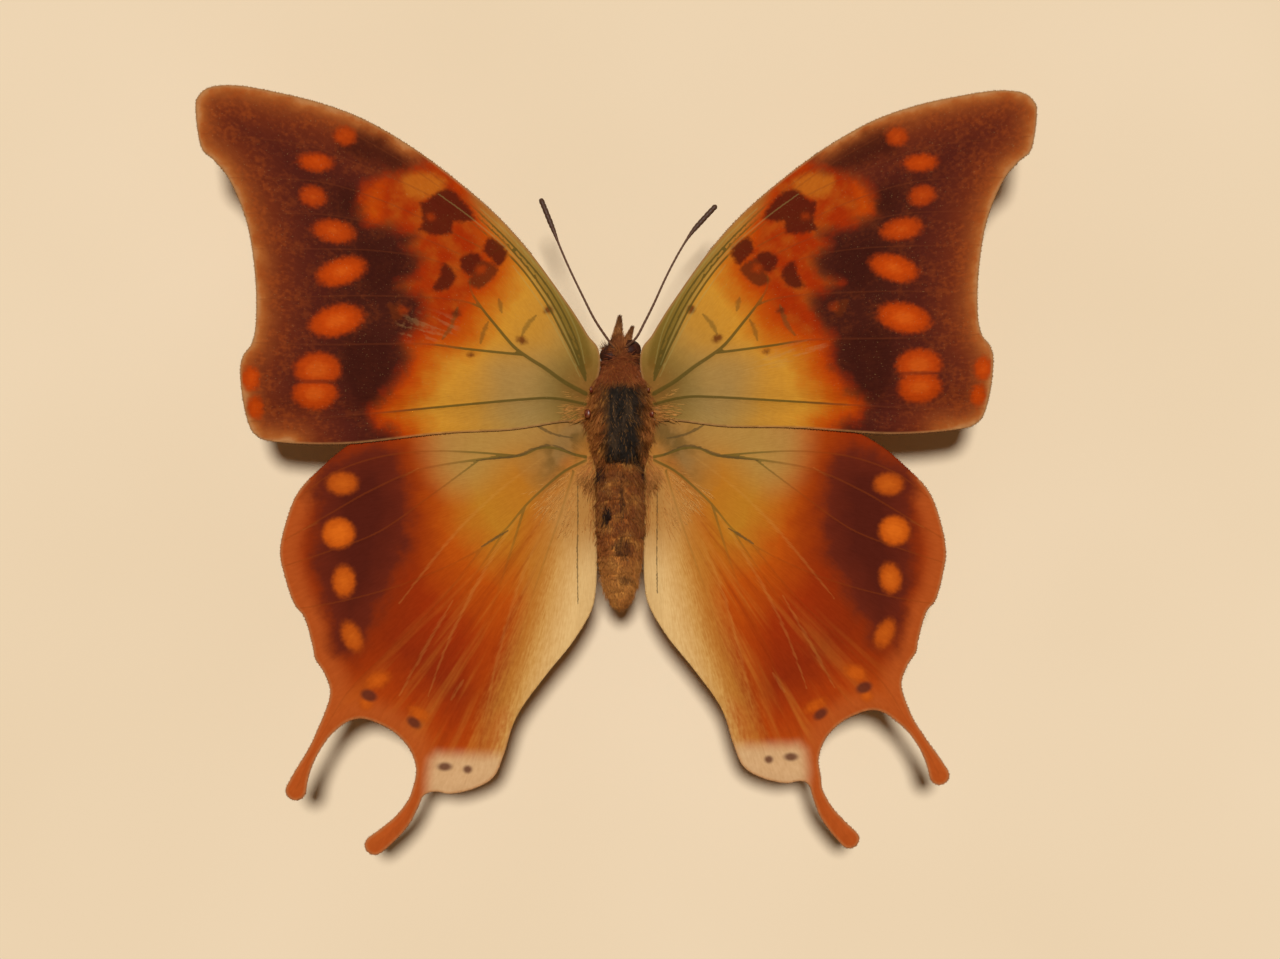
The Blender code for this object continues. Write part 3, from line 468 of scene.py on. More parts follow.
class Shader:
    """One procedural material, built a node at a time."""

    def __init__(self, name: str) -> None:
        """Starts a material with only its surface and output.

        Args:
            name: The material's name, after the real material.
        """
        self.material = bpy.data.materials.new(name)
        self.material.use_nodes = True
        self.tree = self.material.node_tree
        self.tree.nodes.clear()
        self.surface = self.add("ShaderNodeBsdfPrincipled")
        self.add("ShaderNodeOutputMaterial", {"Surface": self.surface.outputs[0]})

    def fill(self, node: bpy.types.Node, inputs: dict) -> None:
        """Sets or links a node's inputs.

        Args:
            node: The node.
            inputs: Values, colours or sockets, by the input's name or number.
        """
        for key, value in inputs.items():
            if isinstance(value, bpy.types.NodeSocket):
                self.tree.links.new(value, node.inputs[key])
            else:
                node.inputs[key].default_value = linear(value) if isinstance(value, str) else value

    def add(self, kind: str, inputs: Optional[dict] = None, **settings: object) -> bpy.types.Node:
        """Adds one node.

        Args:
            kind: The node's type.
            inputs: Values, colours or sockets for its inputs, by name or number.
            **settings: The node's own settings.

        Returns:
            The node.
        """
        node = self.tree.nodes.new(kind)
        for key, value in settings.items():
            setattr(node, key, value)
        self.fill(node, inputs or {})
        return node

    def vector(self, name: str) -> bpy.types.NodeSocket:
        """A place kept on the mesh, to lay a pattern by."""
        return self.add("ShaderNodeAttribute", attribute_name=name).outputs["Vector"]

    def attribute(self, name: str) -> list:
        """The three numbers that the mesh keeps under a name."""
        return list(self.add("ShaderNodeSeparateXYZ", {0: self.vector(name)}).outputs)

    def blotches(self, place: object, size: float, detail: float = 2.0, stretch: tuple = (1, 1, 1)) -> object:
        """A noise, about 0.5 on average, with blotches of a real size in the units of the place."""
        laid = self.add("ShaderNodeMapping", {"Vector": place, "Scale": stretch}).outputs[0]
        inputs = {"Vector": laid, "Scale": 1.0 / size, "Detail": detail}
        return self.add("ShaderNodeTexNoise", inputs).outputs[0]

    def combined(self, operation: str, *values: object) -> object:
        """Combines numbers and sockets from the first to the last.

        Args:
            operation: How each is combined with the result so far.
            *values: The numbers and sockets.

        Returns:
            The result.
        """
        result = values[0]
        for value in values[1:]:
            result = self.add("ShaderNodeMath", {0: result, 1: value}, operation=operation).outputs[0]
        return result

    def gap(self, value: object, other: float) -> bpy.types.NodeSocket:
        """How far a value is from another."""
        off = self.combined("SUBTRACT", value, other)
        return self.add("ShaderNodeMath", {0: off}, operation="ABSOLUTE").outputs[0]

    def nudged(self, value: object, *nudges: tuple) -> object:
        """Shifts a distance by noises, so that an edge drawn from it wanders.

        Args:
            value: The distance.
            *nudges: Each noise, and how far its whole swing moves the distance.

        Returns:
            The shifted distance.
        """
        for pattern, amount in nudges:
            shift = self.combined("MULTIPLY", self.combined("SUBTRACT", pattern, 0.5), amount)
            value = self.combined("ADD", value, shift)
        return value

    def step(self, value: object, low: float, high: float, bottom: float = 0.0, top: float = 1.0) -> object:
        """Rises smoothly from bottom to top as a value goes from low to high."""
        inputs = {"Value": value, "From Min": low, "From Max": high, "To Min": bottom, "To Max": top}
        return self.add("ShaderNodeMapRange", inputs, interpolation_type="SMOOTHSTEP").outputs[0]

    def edge(self, value: object, low: float, high: float, share: float = 1.0, *nudges: tuple) -> object:
        """How much of a mark shows: nothing at low and its share at high, where noises may shift the edge."""
        return self.step(self.nudged(value, *nudges), low, high, 0.0, share)

    def lay(self, under: object, over: object, *shares: object, blend: str = "MIX") -> bpy.types.NodeSocket:
        """Lays a colour over another as far as the product of the shares says."""
        inputs = {0: self.combined("MULTIPLY", *shares), 6: under, 7: over}
        return self.add("ShaderNodeMix", inputs, data_type="RGBA", blend_type=blend).outputs[2]

    def painted(self, colour: object, *layers: tuple) -> object:
        """Paints layers over a colour, one after the other.

        Args:
            colour: The lowest colour.
            *layers: Each layer's colour, and what its edge follows, as edge takes it.

        Returns:
            The colour on top.
        """
        for over, *edge in layers:
            colour = self.lay(colour, over, self.edge(*edge))
        return colour

    def shades(self, value: object, low: float, high: float, stops: Sequence[tuple]) -> bpy.types.NodeSocket:
        """Colours a value by a row of stops.

        Args:
            value: The value.
            low: Where the row starts.
            high: Where it ends.
            stops: Each stop's place, from 0 to 1, and its colour.

        Returns:
            The colour.
        """
        share = self.add("ShaderNodeMapRange", {"Value": value, "From Min": low, "From Max": high}).outputs[0]
        node = self.add("ShaderNodeValToRGB", {0: share})
        while len(node.color_ramp.elements) < len(stops):
            node.color_ramp.elements.new(0.5)
        for element, (place, colour) in zip(node.color_ramp.elements, stops):
            element.position = place
            element.color = linear(colour)
        return node.outputs[0]

    def finish(self, colour: object, roughness: float, specular: float, height: object = None,
               depth: float = 0.02, metallic: float = 0.0) -> bpy.types.Material:
        """Closes the material.

        Args:
            colour: Its colour.
            roughness: Its roughness.
            specular: How strongly it mirrors, where 0.5 is the level of its IOR.
            height: What its fine relief follows, if it has one.
            depth: The relief's depth in millimetres.
            metallic: 1 for a metal.

        Returns:
            The material.
        """
        self.fill(self.surface, {
            "Base Color": colour, "Roughness": roughness, "Specular IOR Level": specular,
            "Metallic": metallic,
        })
        if height is not None:
            bump = self.add("ShaderNodeBump", {"Height": height, "Distance": depth * MM})
            self.fill(self.surface, {"Normal": bump.outputs[0]})
        return self.material


# Meshes

@dataclass
class Shape:
    """A mesh in the making: points in millimetres, triangles, and what each point carries."""

    points: np.ndarray
    faces: np.ndarray
    carried: dict = field(default_factory=dict)
    uv: Optional[np.ndarray] = None
    material_of: Optional[np.ndarray] = None

    def object(self, name: str, *materials: bpy.types.Material) -> bpy.types.Object:
        """Makes the object.

        Args:
            name: Its name.
            *materials: Its materials, in the order of material_of.

        Returns:
            The object, linked to the scene.
        """
        mesh = bpy.data.meshes.new(name)
        faces = np.asarray(self.faces, np.int32)
        mesh.vertices.add(len(self.points))
        mesh.vertices.foreach_set("co", (np.asarray(self.points, float) * MM).ravel())
        mesh.loops.add(faces.size)
        mesh.loops.foreach_set("vertex_index", faces.ravel())
        mesh.polygons.add(len(faces))
        mesh.polygons.foreach_set("loop_start", np.arange(0, faces.size, faces.shape[1], dtype=np.int32))
        if self.material_of is not None:
            mesh.polygons.foreach_set("material_index", self.material_of.astype(np.int32))
        mesh.polygons.foreach_set("use_smooth", np.full(len(faces), True))
        mesh.update(calc_edges=True)
        for key, rows in self.carried.items():
            kept = mesh.attributes.new(key, "FLOAT_VECTOR", "POINT")
            kept.data.foreach_set("vector", np.asarray(rows, np.float32).ravel())
        if self.uv is not None:
            layer = mesh.uv_layers.new(name="OFBake")
            layer.data.foreach_set("uv", np.asarray(self.uv, np.float32).ravel())
        for finish in materials:
            mesh.materials.append(finish)
        mesh.validate()
        made = bpy.data.objects.new(name, mesh)
        bpy.context.scene.collection.objects.link(made)
        return made


def dress(piece: bpy.types.Object, slot: str, *nodes: str) -> None:
    """Attaches a piece to the root, hides the solids that it replaces, and reports it.

    Args:
        piece: The piece.
        slot: The record's material slot; not used.
        *nodes: The solids that it replaces, if any.
    """
    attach(piece, "root")
    if nodes:
        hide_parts(*nodes)
    LOG.info("%s, %d triangles", piece.name, len(piece.data.polygons))


def lathe(rings: np.ndarray) -> Shape:
    """Joins rings of points into one closed body.

    Args:
        rings: Rings by points by three.

    Returns:
        The body, with "place" carrying its own points.
    """
    count, sides = rings.shape[:2]
    index = np.arange(count * sides).reshape(count, sides)
    beside = np.roll(index, -1, axis=1)
    a, b, c, d = index[:-1], beside[:-1], beside[1:], index[1:]
    faces = [np.stack([a, b, c], -1).reshape(-1, 3), np.stack([a, c, d], -1).reshape(-1, 3)]
    for middle, ring, way in ((count * sides, index[0], -1), (count * sides + 1, index[-1], 1)):
        faces.append(np.stack([ring, np.roll(ring, -1), np.full(sides, middle)], -1)[:, ::way])
    points = np.vstack([rings.reshape(-1, 3), rings[0].mean(0)[None], rings[-1].mean(0)[None]])
    return Shape(points, np.vstack(faces), {"place": points})


def tube_rings(path: np.ndarray, radii: np.ndarray, sides: int) -> np.ndarray:
    """Rings round a path.

    Args:
        path: The path's points.
        radii: A radius at each point.
        sides: Points in each ring.

    Returns:
        Rings by points by three.
    """
    ahead = unit(np.gradient(path, axis=0))
    across = np.cross(ahead[0], (0.0, 0.0, 1.0))
    if np.linalg.norm(across) < 0.1:
        across = np.array((1.0, 0.0, 0.0))
    angles = np.linspace(0, 2 * math.pi, sides, endpoint=False)[:, None]
    rings = []
    for point, direction, radius in zip(path, ahead, radii):
        across = unit(across - direction * (across @ direction))
        over = np.cross(across, direction)
        rings.append(point + radius * (np.cos(angles) * across + np.sin(angles) * over))
    return np.array(rings)


@dataclass
class Tufts:
    """Where a coat's locks of hair or scales grow, and how each lies."""

    places: np.ndarray
    normals: np.ndarray
    lies: np.ndarray
    lengths: np.ndarray
    widths: np.ndarray
    lifts: np.ndarray
    uvs: np.ndarray
    seed: int
    bend: float = 0.5
    rings: int = 3
    sink: float = 0.0

    def shape(self) -> Shape:
        """Builds every tuft as a thin closed blade of three sides.

        Returns:
            The joined blades. "place" carries where each one grows, and "strand" how far along it
            a point is, its own random number and its length.
        """
        rng = random_rows(self.seed)
        count = len(self.places)
        normals, lengths = self.normals, self.lengths[:, None]
        lies = unit(self.lies - normals * np.sum(self.lies * normals, axis=1)[:, None])
        sides = np.cross(normals, lies)
        own = rng.random(count)
        sway = rng.normal(0.0, 0.12, count)[:, None]
        blocks, shares = [], []
        for share in np.linspace(0.0, 1.0, self.rings + 1):
            rise = self.lifts * share * (1.0 - self.bend * share)
            middle = (
                self.places - normals * self.sink + lies * lengths * share
                + normals * lengths * rise[:, None] + sides * lengths * sway * share ** 2
            )
            width = self.widths[:, None] * (1.0 - 0.55 * share ** 2)
            for out, up in BLADE_CORNERS if share < 1.0 else [(0.0, 0.0)]:
                blocks.append(middle + (sides * out + normals * (up * BLADE_THICKNESS)) * width)
                shares.append(np.full(count, share))
        each = len(blocks)
        pattern = [(0, 2, 1)]
        for ring in range(self.rings):
            for k in range(3):
                a, b = ring * 3 + k, ring * 3 + (k + 1) % 3
                pattern += [(a, b, b + 3), (a, b + 3, a + 3)] if ring < self.rings - 1 else [(a, b, each - 1)]
        pattern = np.array(pattern)
        spread = np.array([(k % 3 - 1.0, k // 3) for k in range(each - 1)] + [(0.0, self.rings)])
        spread = spread * (TUFT_PATCH / 3, TUFT_PATCH / self.rings)
        strand = [np.stack(shares, 1).ravel(), np.repeat(own, each), np.repeat(self.lengths, each)]
        return Shape(
            np.stack(blocks, 1).reshape(-1, 3),
            ((np.arange(count) * each)[:, None, None] + pattern).reshape(-1, 3),
            {"place": np.repeat(self.places, each, axis=0), "strand": np.stack(strand, -1)},
            np.clip((self.uvs[:, None, None] + spread[pattern]).reshape(-1, 2), 0.0, 1.0),
        )


# Wings

@dataclass(frozen=True)
class Side:
    """One side of the insect, with how its wings differ from the drawn left pair."""

    name: str
    sign: int
    fore_length: float = 1.0
    fore_narrowing: float = 0.0
    hind_scale: tuple = (1.0, 1.0)
    hind_flare: float = 0.0
    outer_tail_turn: float = 0.0
    inner_tail_turn: float = 0.0

    @property
    def right(self) -> bool:
        """Whether this is the right side."""
        return self.sign > 0


LEFT = Side("l", -1)
RIGHT = Side("r", 1, 0.982, 0.00146, (0.953, 0.968), 0.015, math.radians(4.5), math.radians(-7.5))
FORE_STILL = 29.7
HIND_PIVOT = (3.2, 1.0)
FLARE_FROM = -9.0
FLARE_LENGTH = 6.0
OUTER_TAIL_ROOT = (28.6, -27.6)
INNER_TAIL_ROOT = (20.2, -33.2)
TAIL_BEND = 2.0


def fore_placed(plan: np.ndarray, side: Side) -> np.ndarray:
    """Lays forewing points out on one side.

    Args:
        plan: Points as (out, fore).
        side: Which side.

    Returns:
        Points as (across, fore).
    """
    out = plan[:, 0] - ROOT_OUT
    narrowed = 1 - side.fore_narrowing * out
    across = side.sign * (ROOT_OUT + out * side.fore_length)
    return np.stack([across, FORE_STILL + (plan[:, 1] - FORE_STILL) * narrowed], -1)


def swung(plan: np.ndarray, root: tuple, turn: float, where: np.ndarray) -> np.ndarray:
    """Turns the points of one tail about its root.

    Args:
        plan: Points as (out, fore).
        root: The place it turns about.
        turn: The angle.
        where: Which points are in the tail.

    Returns:
        The points, turned.
    """
    out, fore = (plan - root).T
    angle = turn * np.clip(-fore / TAIL_BEND, 0.0, 1.0)
    cosine, sine = np.cos(angle), np.sin(angle)
    turned = np.stack([out * cosine - fore * sine, out * sine + fore * cosine], -1)
    return np.where(where[:, None], turned + root, plan)


def hind_placed(plan: np.ndarray, side: Side) -> np.ndarray:
    """Lays hindwing points out on one side.

    Args:
        plan: Points as (out, fore).
        side: Which side.

    Returns:
        Points as (across, fore).
    """
    outer = (plan[:, 0] >= OUTER_TAIL_ROOT[0]) & (plan[:, 1] <= OUTER_TAIL_ROOT[1])
    inner = ~outer & (plan[:, 0] >= INNER_TAIL_ROOT[0]) & (plan[:, 1] <= INNER_TAIL_ROOT[1])
    bent = swung(plan, OUTER_TAIL_ROOT, side.outer_tail_turn, outer)
    bent = swung(bent, INNER_TAIL_ROOT, side.inner_tail_turn, inner)
    flare = side.hind_flare * np.clip((FLARE_FROM - bent[:, 1]) / FLARE_LENGTH, 0.0, 1.0)
    across = HIND_PIVOT[0] + (bent[:, 0] - HIND_PIVOT[0]) * (side.hind_scale[0] + flare)
    fore = HIND_PIVOT[1] + (bent[:, 1] - HIND_PIVOT[1]) * side.hind_scale[1]
    return np.stack([side.sign * across, fore], -1)


def arched(plan: np.ndarray, height: float, rise: float, axis: tuple, arch: float) -> np.ndarray:
    """A middle surface that starts at a height, climbs outwards, and arches about a crest line."""
    off_axis = plan[:, 1] - (axis[0] + axis[1] * plan[:, 0])
    return height + rise * (plan[:, 0] - ROOT_OUT) + CAMBER * (1 - (off_axis / arch) ** 2)


def fore_height(plan: np.ndarray) -> np.ndarray:
    """The height of the forewing's middle surface, its rear edge let down onto the hindwing."""
    sag = REAR_SAG * smooth(7.6, 4.2, plan[:, 1])
    return arched(plan, FORE_HEIGHT, FORE_RISE, FORE_AXIS, FORE_ARCH) - sag


def hind_height(plan: np.ndarray) -> np.ndarray:
    """The height of the hindwing's middle surface, folded down beside the abdomen."""
    drop = np.clip(FOLD_OUT - plan[:, 0], 0.0, None) * FOLD_SLOPE
    drop *= np.clip((FOLD_START - plan[:, 1]) / FOLD_LENGTH, 0.0, 1.0)
    return arched(plan, HIND_HEIGHT, HIND_RISE, HIND_AXIS, HIND_ARCH) - drop


def ribbon(path: Points, halves: Sequence[float]) -> list:
    """The two edges of a tail, along its outer side, round the tip and back along the inner.

    Args:
        path: The tail's middle line.
        halves: Its half width at each point.

    Returns:
        The edge's points.
    """
    line = np.asarray(path, float)
    ahead = unit(np.gradient(line, axis=0))
    across = np.stack([-ahead[:, 1], ahead[:, 0]], -1) * np.asarray(halves)[:, None]
    end, side = ahead[-1], across[-1] / halves[-1]
    tip = [
        line[-1] + halves[-1] * (end * math.sin(turn) + side * math.cos(turn))
        for turn in map(math.radians, TIP_ANGLES)
    ]
    return [tuple(p) for p in [*(line + across), *tip, *(line - across)[::-1]]]


@dataclass
class WingPlan:
    """A wing laid flat: its outline, its triangles, and the distances that everything is drawn by."""

    outline: Points
    veins: Sequence[Vein]
    fine_lines: Sequence[Points]
    root: tuple
    step: float
    rim_step: float = 0.3
    inset: float = 0.1

    def __post_init__(self) -> None:
        """Cuts the flat shape into triangles, with points along every line so that it stays crisp."""
        rim = spline(self.outline, self.rim_step, closed=True)
        tangent = unit(np.roll(rim, -1, axis=0) - np.roll(rim, 1, axis=0))
        area = np.sum(rim[:, 0] * np.roll(rim[:, 1], -1) - np.roll(rim[:, 0], -1) * rim[:, 1])
        self.outward = np.stack([tangent[:, 1], -tangent[:, 0]], -1) * np.sign(area)
        self.rim = rim - self.outward * self.inset
        self.low, high = self.rim.min(0), self.rim.max(0)
        self.size = high - self.low
        rows = np.arange(self.low[1], high[1], self.step * math.sqrt(3) / 2)
        grid = np.vstack([
            [(out, row) for out in np.arange(self.low[0] + (k % 2) * self.step / 2, high[0], self.step)]
            for k, row in enumerate(rows)
        ])
        self.loop = np.vstack([self.rim, self.rim[:1]])
        self.reach = np.hypot(*(self.rim - self.root).T)
        courses = [*(vein.course for vein in self.veins), *self.fine_lines]
        clear = np.min([line_distance(grid, spline(course, 0.7))[0] for course in courses], axis=0)
        grid = grid[clear > self.step * 0.5]
        grid = np.vstack([grid, *(spline(course, self.step * 0.8) for course in courses)])
        grid = grid[inside(grid, self.rim)]
        grid = grid[line_distance(grid, self.loop)[0] > self.step * 0.5]
        flat = [Vector(p) for p in np.vstack([self.rim, grid])]
        made = delaunay_2d_cdt(flat, [], [list(range(len(self.rim)))], 1, 1e-5)
        self.faces = np.array([tuple(face) for face in made[2]])
        self.measure(np.array([tuple(p) for p in made[0]]))
        LOG.info("wing plan of %d points", len(self.points))

    def measure(self, points: np.ndarray) -> None:
        """Measures the distances to rim and veins at every point.

        Args:
            points: The flat points to measure at, which become the plan's own.
        """
        self.points = points
        self.margin, _ = line_distance(points, self.loop)
        self.free_margin, _ = line_distance(points, self.rim[self.reach > 0.62 * self.reach.max()])
        self.ridge = np.zeros(len(points))
        self.vein = np.full(len(points), -2.0)
        for vein in self.veins:
            gap, along = line_distance(points, spline(vein.course, 0.5))
            half = vein.root + (vein.tip - vein.root) * along
            self.ridge = np.maximum(self.ridge, 0.6 * half * np.exp(-((gap / half) ** 2)))
            self.vein = np.maximum(self.vein, 1 - gap / (half * 0.5 + 0.03))

    def at(self, points: np.ndarray) -> "WingPlan":
        """The same plan, measured at loose points.

        Args:
            points: The flat points.

        Returns:
            A plan of those points.
        """
        probe = copy.copy(self)
        probe.measure(points)
        return probe

    def bake_place(self, plan: np.ndarray, under: bool = False) -> np.ndarray:
        """The place of flat points on the wing's unwrap, upper side left and underside right."""
        share = (plan - self.low) / self.size
        return np.stack([0.01 + 0.47 * share[:, 0] + 0.51 * under, 0.02 + 0.96 * share[:, 1]], -1)


@dataclass(frozen=True)
class BaseHair:
    """The long hair of a wing's base: how much, the point it fans out from, how far, and its length."""

    count: int
    source: tuple
    reach: tuple
    bearings: tuple
    length: float
    thinning: float


@dataclass(frozen=True)
class WingKind:
    """What both wings of a pair share."""

    name: str
    plan: WingPlan
    place: Callable
    height: Callable
    marks: Callable
    hair: BaseHair
    upper: bpy.types.Material
    under: bpy.types.Material


@dataclass
class Wing:
    """One wing of the insect."""

    kind: WingKind
    side: Side
    seed: int
    half_thickness: float = 0.14
    edge_thickness: float = 0.04

    def surface(self, plan: np.ndarray) -> np.ndarray:
        """The middle surface in space, with the slight waves of a dried wing.

        Args:
            plan: Points as (out, fore).

        Returns:
            Points in millimetres.
        """
        out, fore = plan.T
        phase = self.seed * 1.7
        wave = 0.07 * np.sin(out / 5.1 + fore / 9.0 + phase)
        wave = wave + 0.05 * np.sin(fore / 3.7 - out / 7.3 + 2 * phase)
        reach = np.clip((out - ROOT_OUT) / 12.0, 0.0, 1.0) * (1 - 0.7 * smooth(8.0, 5.0, np.abs(fore - 3.0)))
        return np.column_stack([self.kind.place(plan, self.side), self.kind.height(plan) + wave * reach])

    def marks(self, plan: WingPlan) -> dict:
        """The wing's marks at a plan's points, three numbers a row, by name."""
        drawn = {"lie": lie_of(plan, self.side), **self.kind.marks(plan, self.side)}
        return {name: np.stack(np.broadcast_arrays(*rows), -1) for name, rows in drawn.items()}

    def membrane(self) -> bpy.types.Object:
        """Builds the membrane with its veins raised and its marks carried on the mesh.

        Returns:
            The wing.
        """
        plan = self.kind.plan
        middle = self.surface(plan.points)
        half = self.edge_thickness + (self.half_thickness - self.edge_thickness) * smooth(0, 0.9, plan.margin)
        relief = plan.ridge * smooth(0.0, 1.0, plan.margin)
        top, bottom = middle.copy(), middle.copy()
        top[:, 2] += half + relief
        bottom[:, 2] -= half + relief * 0.7
        count = len(plan.points)
        faces = plan.faces if self.side.sign > 0 else plan.faces[:, ::-1]
        edges = np.vstack([faces[:, (0, 1)], faces[:, (1, 2)], faces[:, (2, 0)]])
        _, first, uses = np.unique(np.sort(edges, axis=1), axis=0, return_index=True, return_counts=True)
        start, end = edges[first[uses == 1]].T
        upper_halves = np.stack([end, start, start + count], -1)
        walls = np.vstack([upper_halves, np.stack([end, start + count, end + count], -1)])
        points = np.vstack([top, bottom])
        carried = {name: np.vstack([rows, rows]) for name, rows in self.marks(plan).items()}
        strip = np.tile([(0.0, 0.0), (0.01, 0.0), (0.01, 0.01)], (len(walls), 1, 1)) * 0.8
        uv = [plan.bake_place(plan.points)[faces], plan.bake_place(plan.points, True)[faces[:, ::-1]], strip]
        return Shape(
            points,
            np.vstack([faces, faces[:, ::-1] + count, walls]),
            {**carried, "place": points},
            np.vstack(uv).reshape(-1, 2),
            np.repeat([0, 1, 0], [len(faces), len(faces), len(walls)]),
        ).object(f"{self.kind.name}_{self.side.name}_scales", self.kind.upper, self.kind.under)

    def fringe(self) -> bpy.types.Object:
        """Builds the short scales that fringe the free margin.

        Returns:
            The fringe, one joined mesh.
        """
        rng = random_rows(self.seed + 50)
        plan = self.kind.plan
        chosen = np.repeat(np.flatnonzero(plan.reach > 0.3 * plan.reach.max()), 5)
        count = len(chosen)
        share = rng.random((count, 1))
        after = (chosen + 1) % len(plan.rim)
        flat = plan.rim[chosen] * (1 - share) + plan.rim[after] * share
        outward = plan.outward[chosen] * (1 - share) + plan.outward[after] * share
        roots = self.surface(flat - outward * 0.18)
        drift = rng.normal(0, 0.16, (count, 3)) * (1, 1, 0.35)
        lies = unit(self.surface(flat + outward * 0.3) - roots) + drift
        way = np.where(rng.random(count) < 0.5, 1.0, -1.0)
        roots[:, 2] += way * 0.02
        shape = Tufts(
            roots, np.outer(way, (0.0, 0.0, 1.0)), lies, rng.uniform(0.22, 0.32, count),
            rng.uniform(0.035, 0.06, count), rng.uniform(0.0, 0.1, count),
            np.clip(plan.bake_place(flat - outward * 0.18), 0.005, 0.99), self.seed + 51, 0.4, 2,
        ).shape()
        each = len(shape.points) // count
        for name, rows in self.marks(plan.at(flat)).items():
            shape.carried[name] = np.repeat(rows, each, axis=0)
        return shape.object(f"{self.kind.name}_{self.side.name}_scales_fringe", self.kind.upper)

    def base_hair(self, finish: bpy.types.Material) -> bpy.types.Object:
        """Grows the long hair that lies on the wing's base and fans out from the body.

        Args:
            finish: Its material.

        Returns:
            The hair, one joined mesh.
        """
        rng = random_rows(self.seed + 80)
        hair, plan = self.kind.hair, self.kind.plan
        bearing = np.radians(rng.uniform(*hair.bearings, hair.count))
        far = hair.reach[0] + (hair.reach[1] - hair.reach[0]) * rng.random(hair.count) ** hair.thinning
        way = np.stack([np.cos(bearing), np.sin(bearing)], -1)
        flat = np.array(hair.source) + way * far[:, None]
        kept = inside(flat, plan.rim)
        flat, way, far = flat[kept], way[kept], far[kept]
        count = len(flat)
        roots = self.surface(flat) + (0.0, 0.0, self.half_thickness)
        ahead = self.surface(flat + way * 0.2) + (0.0, 0.0, self.half_thickness) - roots
        lies = unit(ahead) + rng.normal(0, 0.09, (count, 3)) * (1.0, 1.0, 0.2)
        lengths = hair.length * rng.uniform(0.5, 1.2, count) * (1 - 0.45 * far / hair.reach[1])
        return Tufts(
            roots, np.tile((0.0, 0.0, 1.0), (count, 1)), lies, lengths, rng.uniform(0.016, 0.032, count),
            rng.uniform(0.0, 0.07, count), np.clip(plan.bake_place(flat), 0.005, 0.99), self.seed + 81,
        ).shape().object(f"{self.kind.name}_{self.side.name}_base_hair", finish)


def lie_of(plan: WingPlan, side: Side) -> tuple:
    """Distance and bearing, in millimetres at 20 mm, from the root, and a shift of the side's own."""
    offset = plan.points - plan.root
    return np.hypot(*offset.T), np.arctan2(offset[:, 1], offset[:, 0]) * 20, 7.0 * side.sign


def forewing_marks(plan: WingPlan, side: Side) -> dict:
    """Draws the forewing's marks as depths and strengths on its points.

    Args:
        plan: The wing's flat shape.
        side: Which side it is on.

    Returns:
        Three rows of numbers, by name.
    """
    points = plan.points
    dark = depth_in(points, [DARK_FIELD])
    marks = np.maximum(depth_in(points, CELL_MARKS, 0.6), depth_in(points, [DARK_BLOTCH], 0.8))
    brown = np.maximum(depth_in(points, BROWN_MARKS, 0.6), spot_depth(points, FORE_DOTS, side.right)[0])
    spots, strength = spot_depth(points, [*FORE_SPOTS, *FORE_SMALL_SPOTS], side.right)
    divider = np.clip(streak(points, SPOT_DIVIDERS, 0.3), 0.0, 1.0)
    root_gap = np.hypot(*(points - GREEN_CENTRE).T)
    costal_band = smooth(-0.5, 0.7, depth_in(points, [GREEN_BAND], 0.8))
    green = np.maximum(costal_band, smooth(7.5, 2.0, root_gap) * 0.8)
    worn = depth_in(points, [FORE_WORN_RIGHT if side.right else FORE_WORN], 0.8)
    near = np.maximum(dark, depth_in(points, [ORANGE_FIELD]))
    return {
        "field": (dark, spots, marks),
        "tone": (
            green, smooth(-3.0, 1.6, depth_in(points, [FORE_FLUSH])), depth_in(points, [OCHRE_PATCH], 0.8),
        ),
        "line": (plan.vein, plan.free_margin, smooth(-0.6, 0.5, worn)),
        "extra": (brown, depth_in(points, DARKEST, 0.8), strength - divider * 0.7),
        "near": (near, plan.margin, 0.0),
        "fine": (streak(points, FORE_PAINTED_HIGHLIGHTS, 0.12), streak(points, CELL_LINES, 0.32), 0.0),
    }


def hindwing_marks(plan: WingPlan, side: Side) -> dict:
    """Draws the hindwing's marks as depths and strengths on its points.

    Args:
        plan: The wing's flat shape.
        side: Which side it is on.

    Returns:
        Three rows of numbers, by name.
    """
    points = plan.points
    spots, strength = spot_depth(points, [*HIND_SPOTS, *HIND_LUNULES], side.right)
    dots, _ = spot_depth(points, HIND_DOTS, side.right)
    lobe = smooth(-1.2, 0.8, depth_in(points, [PINK_LOBE], 0.8))
    flush = smooth(-3.4, 1.8, depth_in(points, [HIND_FLUSH]))
    dashes = streak(points, [DASHED_LINE_RIGHT if side.right else DASHED_LINE], 0.075)
    lines = np.maximum(dashes, streak(points, DARK_SCRATCHES, 0.17))
    return {
        "field": (depth_in(points, [HIND_DARK]), spots, depth_in(points, [CREAM_FIELD])),
        "tone": (lobe, flush, np.maximum(streak(points, [FOLD_STREAK], 3.4), 0.0)),
        "line": (plan.vein, plan.free_margin, lines),
        "extra": (dots, streak(points, PALE_STREAKS, 0.22), strength),
    }


# Wing finishes

